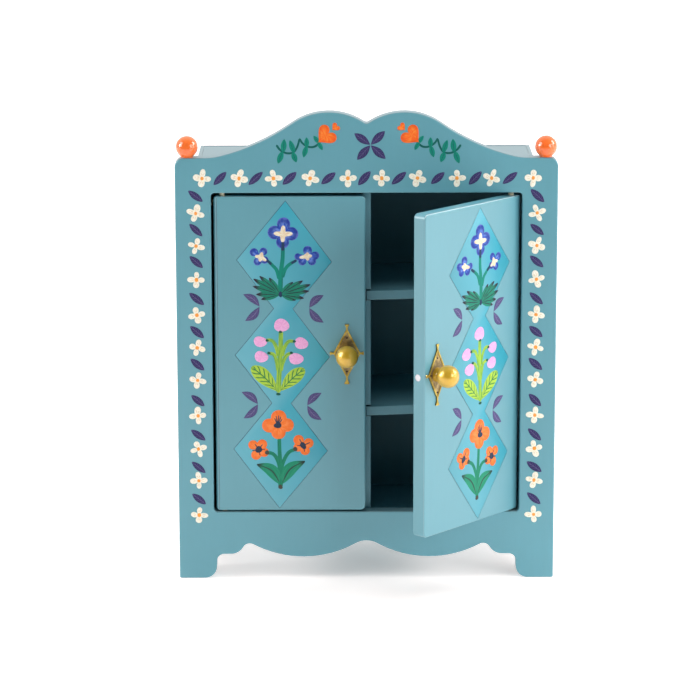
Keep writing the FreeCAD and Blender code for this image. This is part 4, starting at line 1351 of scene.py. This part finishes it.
def flower_tree():
    """Four uneven petals, an orange middle and two fine strokes a petal, at each point."""
    tree, given, made = new_group(
        "border_flowers",
        [
            ("Geometry", GEOMETRY, None),
            ("Petal length", FLOAT, 0.005),
            ("Petal width", FLOAT, 0.004),
            ("Petal reach", FLOAT, 0.003),
            ("Relief", FLOAT, 0.0002),
            ("Seed", INTEGER, 7),
            ("Petal paint", MATERIAL, None),
            ("Middle paint", MATERIAL, None),
            ("Stroke paint", MATERIAL, None),
        ],
        [("Geometry", GEOMETRY)],
        "GeometryNodeTree",
    )
    seed = given["Seed"]
    cross = add_node(
        tree, "GeometryNodeMeshCircle", {"Vertices": 4, "Radius": given["Petal reach"]}
    ).outputs["Mesh"]
    counted = stored(tree, cross, "petal", add_node(tree, "GeometryNodeInputIndex").outputs[0])
    turn = named(tree, "turn")
    seats = realized(tree, on_points(tree, given["Geometry"], counted, Rotation=turned(tree, turn)))
    count = calc(tree, "SUBTRACT", named(tree, "petal"), 1.0)
    quarter = calc(tree, "MULTIPLY_ADD", count, math.pi / 2, turn)
    lean = calc(tree, "ADD", quarter, random_value(tree, -0.24, 0.24, seed))
    half = half_size_of(tree, given, "Petal")
    seating = {
        "Rotation": turned(tree, lean),
        "Scale": random_value(tree, (0.82, 0.84, 1.0), (1.14, 1.2, 1.0), seed, "FLOAT_VECTOR"),
    }
    petals = on_points(tree, seats, blob(tree, 20, 10, half, 0.1, 0.0), **seating)
    stroke_size = vector_calc(tree, "MULTIPLY", half, (0.11, 0.52, 1.16))
    stroke = blob(tree, 8, 6, stroke_size, 0.0, 0.6)
    strokes = []
    for side in (-1, 1):
        place = (side * 0.55 * MM, -0.2 * MM, 0)
        aside = transformed(tree, stroke, Translation=place, Rotation=(0, 0, side * -0.25))
        strokes.append(on_points(tree, seats, aside, **seating))
    middle_size = vector_calc(tree, "MULTIPLY", half, (0.56, 0.5, 1.8))
    middles = on_points(
        tree, given["Geometry"], blob(tree, 20, 10, middle_size, 0.0, 0.0),
        Scale=random_value(tree, (0.85, 0.85, 1.0), (1.15, 1.15, 1.0), seed, "FLOAT_VECTOR"),
    )
    shapes = [(petals, given["Petal paint"]), (middles, given["Middle paint"])]
    shapes += [(s, given["Stroke paint"]) for s in strokes]
    finish_tree(tree, shapes, made)
    return tree


def leaf_tree():
    """A pointed leaf at each point."""
    tree, given, made = new_group(
        "border_leaves",
        [
            ("Geometry", GEOMETRY, None),
            ("Leaf length", FLOAT, 0.012),
            ("Leaf width", FLOAT, 0.0036),
            ("Relief", FLOAT, 0.0002),
            ("Seed", INTEGER, 7),
            ("Leaf paint", MATERIAL, None),
        ],
        [("Geometry", GEOMETRY)],
        "GeometryNodeTree",
    )
    seed = given["Seed"]
    half = half_size_of(tree, given, "Leaf")
    lean = calc(tree, "ADD", named(tree, "turn"), random_value(tree, -0.07, 0.07, seed))
    leaves = on_points(
        tree, given["Geometry"], blob(tree, 20, 18, half, 0.0, 0.62),
        Rotation=turned(tree, lean),
        Scale=random_value(tree, (0.92, 0.94, 1.0), (1.1, 1.05, 1.0), seed, "FLOAT_VECTOR"),
    )
    finish_tree(tree, [(leaves, given["Leaf paint"])], made)
    return tree


def grow(name, places, tree, values):
    """Runs a tree on a mesh of points and keeps the result as a plain mesh on the front."""
    seed_object = bpy.data.objects.new(name + "_places", places)
    bpy.context.scene.collection.objects.link(seed_object)
    modifier = seed_object.modifiers.new(name, "NODES")
    modifier.node_group = tree
    for item in tree.interface.items_tree:
        if item.in_out == "INPUT" and item.name in values:
            modifier[item.identifier] = values[item.name]
    bpy.context.view_layer.update()
    evaluated = seed_object.evaluated_get(bpy.context.evaluated_depsgraph_get())
    data = bpy.data.meshes.new_from_object(evaluated)
    data.name = name
    bpy.data.objects.remove(seed_object)
    ride_as_new(name, data, "carcass")


class WARDROBE_OT_border(bpy.types.Operator):
    """Paints the border of flowers and leaves round the front"""

    bl_idname = "wardrobe.border"
    bl_label = "Border"

    def execute(self, context):
        paints = context.scene.wardrobe_flowers
        cream = petal_finish("cream_petals", paints.cream, tint(238, 226, 196), 0.7)
        middle = petal_finish("flower_middle", tint(250, 160, 60), tint(255, 186, 96), 0.6)
        ochre = stroke_finish("petal_stroke", paints.ochre, paints.cream, 0.35)
        grow(
            "border_flowers",
            border_places(TOP_FLOWERS_X, SIDE_FLOWERS_Z, 0.0, 0.0, 0.36, paints.seed),
            flower_tree(),
            {
                "Petal length": paints.petal_length,
                "Petal width": paints.petal_width,
                "Petal reach": paints.petal_reach,
                "Relief": paints.relief,
                "Seed": paints.seed,
                "Petal paint": cream,
                "Middle paint": middle,
                "Stroke paint": ochre,
            },
        )
        slants = (TOP_LEAF_SLANT, SIDE_LEAF_SLANT)
        grow(
            "border_leaves",
            border_places(TOP_LEAVES_X, SIDE_LEAVES_Z, *slants, 0.05, paints.seed),
            leaf_tree(),
            {
                "Leaf length": paints.leaf_length,
                "Leaf width": paints.leaf_width,
                "Relief": paints.relief,
                "Seed": paints.seed,
                "Leaf paint": border_leaf_finish(paints),
            },
        )
        return {"FINISHED"}


class WARDROBE_OT_stage(bpy.types.Operator):
    """Sets up the floor, the lights and the camera"""

    bl_idname = "wardrobe.stage"
    bl_label = "Stage"

    # Where the table that the gloss mirrors darkens, in metres from the wardrobe's front. Seen
    # straight, the table is pale all over.
    TABLE_FADE = (-1.5, -0.4)
    # Half widths and depths over which the table's extra glow grows, under the wardrobe.
    GLOW_ACROSS = (0.005, 0.06)
    GLOW_BACK = (-0.03, 0.0)
    GLOW_MIDDLE = 0.04
    GLOW_SIDES = 0.25

    def execute(self, context):
        studio = context.scene.wardrobe_studio
        context.scene.view_settings.view_transform = "Standard"
        self.floor(studio)
        self.sky(context, studio)
        self.sun(studio.overhead)
        self.softbox("near_softbox", (1.0, -0.95, 0.6), 0.55, studio.near_box)
        self.softbox("right_softbox", (2.2, -0.5, 0.75), 0.9, studio.right_box)
        self.softbox("left_softbox", (-2.3, -0.3, 0.85), 0.65, studio.left_box)
        self.softbox("left_window", (-2.3, -0.7, 1.3), 1.4, studio.left_window, glints_only=True)
        self.softbox("right_window", (2.3, 0.3, 1.6), 1.0, studio.right_window, glints_only=True)
        self.camera(context, studio)
        return {"FINISHED"}

    def floor(self, studio):
        """A pale, lit table, whose own glow keeps the shadow under the wardrobe soft.

        The glow is weakest under the wardrobe's middle and takes the paint's teal off the shadow.
        """
        half = 14.0
        data = bpy.data.meshes.new("studio_floor")
        corners = [(-half, -half, 0), (half, -half, 0), (half, half, 0), (-half, half, 0)]
        data.from_pydata(corners, [], [(0, 1, 2, 3)])
        material, tree, shader = new_finish("pale_floor", 0.7)
        shader["Specular IOR Level"].default_value = 0
        place = add_node(tree, "ShaderNodeSeparateXYZ", {0: object_place(tree)}).outputs
        looked_at = add_node(tree, "ShaderNodeLightPath").outputs["Is Camera Ray"]
        lit = calc(tree, "MAXIMUM", ramp(tree, place["Y"], *self.TABLE_FADE), looked_at)
        shade = blend_colour(tree, lit, (0.02, 0.02, 0.02, 1), (0.93, 0.885, 0.87, 1))
        feed(tree, shade, shader["Base Color"])
        shader["Emission Color"].default_value = (1, 0.86, 0.82, 1)
        aside = ramp(tree, calc(tree, "ABSOLUTE", place["X"]), *self.GLOW_ACROSS)
        extra = calc(tree, "MULTIPLY_ADD", aside, self.GLOW_SIDES, self.GLOW_MIDDLE)
        beneath = times(tree, extra, ramp(tree, place["Y"], *self.GLOW_BACK))
        glow = calc(tree, "MULTIPLY_ADD", lit, studio.glow, beneath)
        feed(tree, glow, shader["Emission Strength"])
        data.materials.append(material)
        floor = bpy.data.objects.new("studio_floor", data)
        bpy.context.scene.collection.objects.link(floor)

    def sky(self, context, studio):
        """Bright behind the wardrobe, like a lit white backdrop, and dim before it.

        Seen straight, the backdrop is bright all round.
        """
        world = bpy.data.worlds.new("studio_sky")
        context.scene.world = world
        world.use_nodes = True
        tree = world.node_tree
        direction = add_node(tree, "ShaderNodeTexCoord").outputs["Generated"]
        behind = add_node(tree, "ShaderNodeSeparateXYZ", {0: direction}).outputs["Y"]
        looked_at = add_node(tree, "ShaderNodeLightPath").outputs["Is Camera Ray"]
        share = calc(tree, "MAXIMUM", ramp(tree, behind, -0.35, 0.35), looked_at)
        strength = calc(tree, "MULTIPLY_ADD", share, studio.backdrop - studio.room, studio.room)
        background = tree.nodes["Background"].inputs
        background["Color"].default_value = (1, 1, 1, 1)
        feed(tree, strength, background["Strength"])

    def sun(self, strength):
        data = bpy.data.lights.new("overhead", "SUN")
        data.energy = strength
        data.angle = math.radians(70)
        light = bpy.data.objects.new("overhead", data)
        light.visible_glossy = False
        bpy.context.scene.collection.objects.link(light)

    def softbox(self, name, place, size, power, glints_only=False):
        """A soft rectangle of light aimed at the wardrobe, or one seen only in glossy parts."""
        data = bpy.data.lights.new(name, "AREA")
        data.shape = "RECTANGLE"
        data.size = size
        data.size_y = size * 1.3
        data.energy = power
        light = bpy.data.objects.new(name, data)
        light.location = place
        light.visible_diffuse = not glints_only
        aim = Vector((0, 0, 0.15)) - Vector(place)
        light.rotation_euler = aim.to_track_quat("-Z", "Y").to_euler()
        bpy.context.scene.collection.objects.link(light)

    def camera(self, context, studio):
        data = bpy.data.cameras.new("camera")
        data.lens = studio.lens
        data.sensor_width = 36
        data.clip_end = 60
        camera = bpy.data.objects.new("camera", data)
        camera.matrix_world = (
            Matrix.Translation(studio.eye)
            @ Matrix.Rotation(-studio.yaw, 4, "Z")
            @ Matrix.Rotation(math.pi / 2 - studio.pitch, 4, "X")
            @ Matrix.Rotation(studio.roll, 4, "Z")
        )
        context.scene.collection.objects.link(camera)
        context.scene.camera = camera


class WARDROBE_PT_panel(bpy.types.Panel):
    """Lists the wardrobe's pieces and settings"""

    bl_label = "Wardrobe"
    bl_idname = "WARDROBE_PT_panel"
    bl_space_type = "VIEW_3D"
    bl_region_type = "UI"
    bl_category = "Wardrobe"

    def draw(self, context):
        for operator in OPERATORS:
            self.layout.operator(operator.bl_idname)
        for name in SETTINGS:
            box = self.layout.box()
            settings = getattr(context.scene, name)
            for field in settings.bl_rna.properties:
                if field.identifier not in ("rna_type", "name"):
                    box.prop(settings, field.identifier)


SETTINGS = {
    "wardrobe_boards": WardrobeBoards,
    "wardrobe_flowers": WardrobeFlowers,
    "wardrobe_studio": WardrobeStudio,
}
OPERATORS = (
    WARDROBE_OT_boards,
    WARDROBE_OT_fittings,
    WARDROBE_OT_diamonds,
    WARDROBE_OT_blue_sprays,
    WARDROBE_OT_berry_sprays,
    WARDROBE_OT_poppy_sprays,
    WARDROBE_OT_leaf_pairs,
    WARDROBE_OT_crest,
    WARDROBE_OT_border,
    WARDROBE_OT_stage,
)


def register():
    for name, settings in SETTINGS.items():
        bpy.utils.register_class(settings)
        setattr(bpy.types.Scene, name, PointerProperty(type=settings))
    for operator in OPERATORS:
        bpy.utils.register_class(operator)
    bpy.utils.register_class(WARDROBE_PT_panel)


def unregister():
    bpy.utils.unregister_class(WARDROBE_PT_panel)
    for operator in reversed(OPERATORS):
        bpy.utils.unregister_class(operator)
    for name, settings in SETTINGS.items():
        delattr(bpy.types.Scene, name)
        bpy.utils.unregister_class(settings)


def main():
    register()
    for operator in OPERATORS:
        group, name = operator.bl_idname.split(".")
        getattr(getattr(bpy.ops, group), name)()


if __name__ == "__main__":
    main()
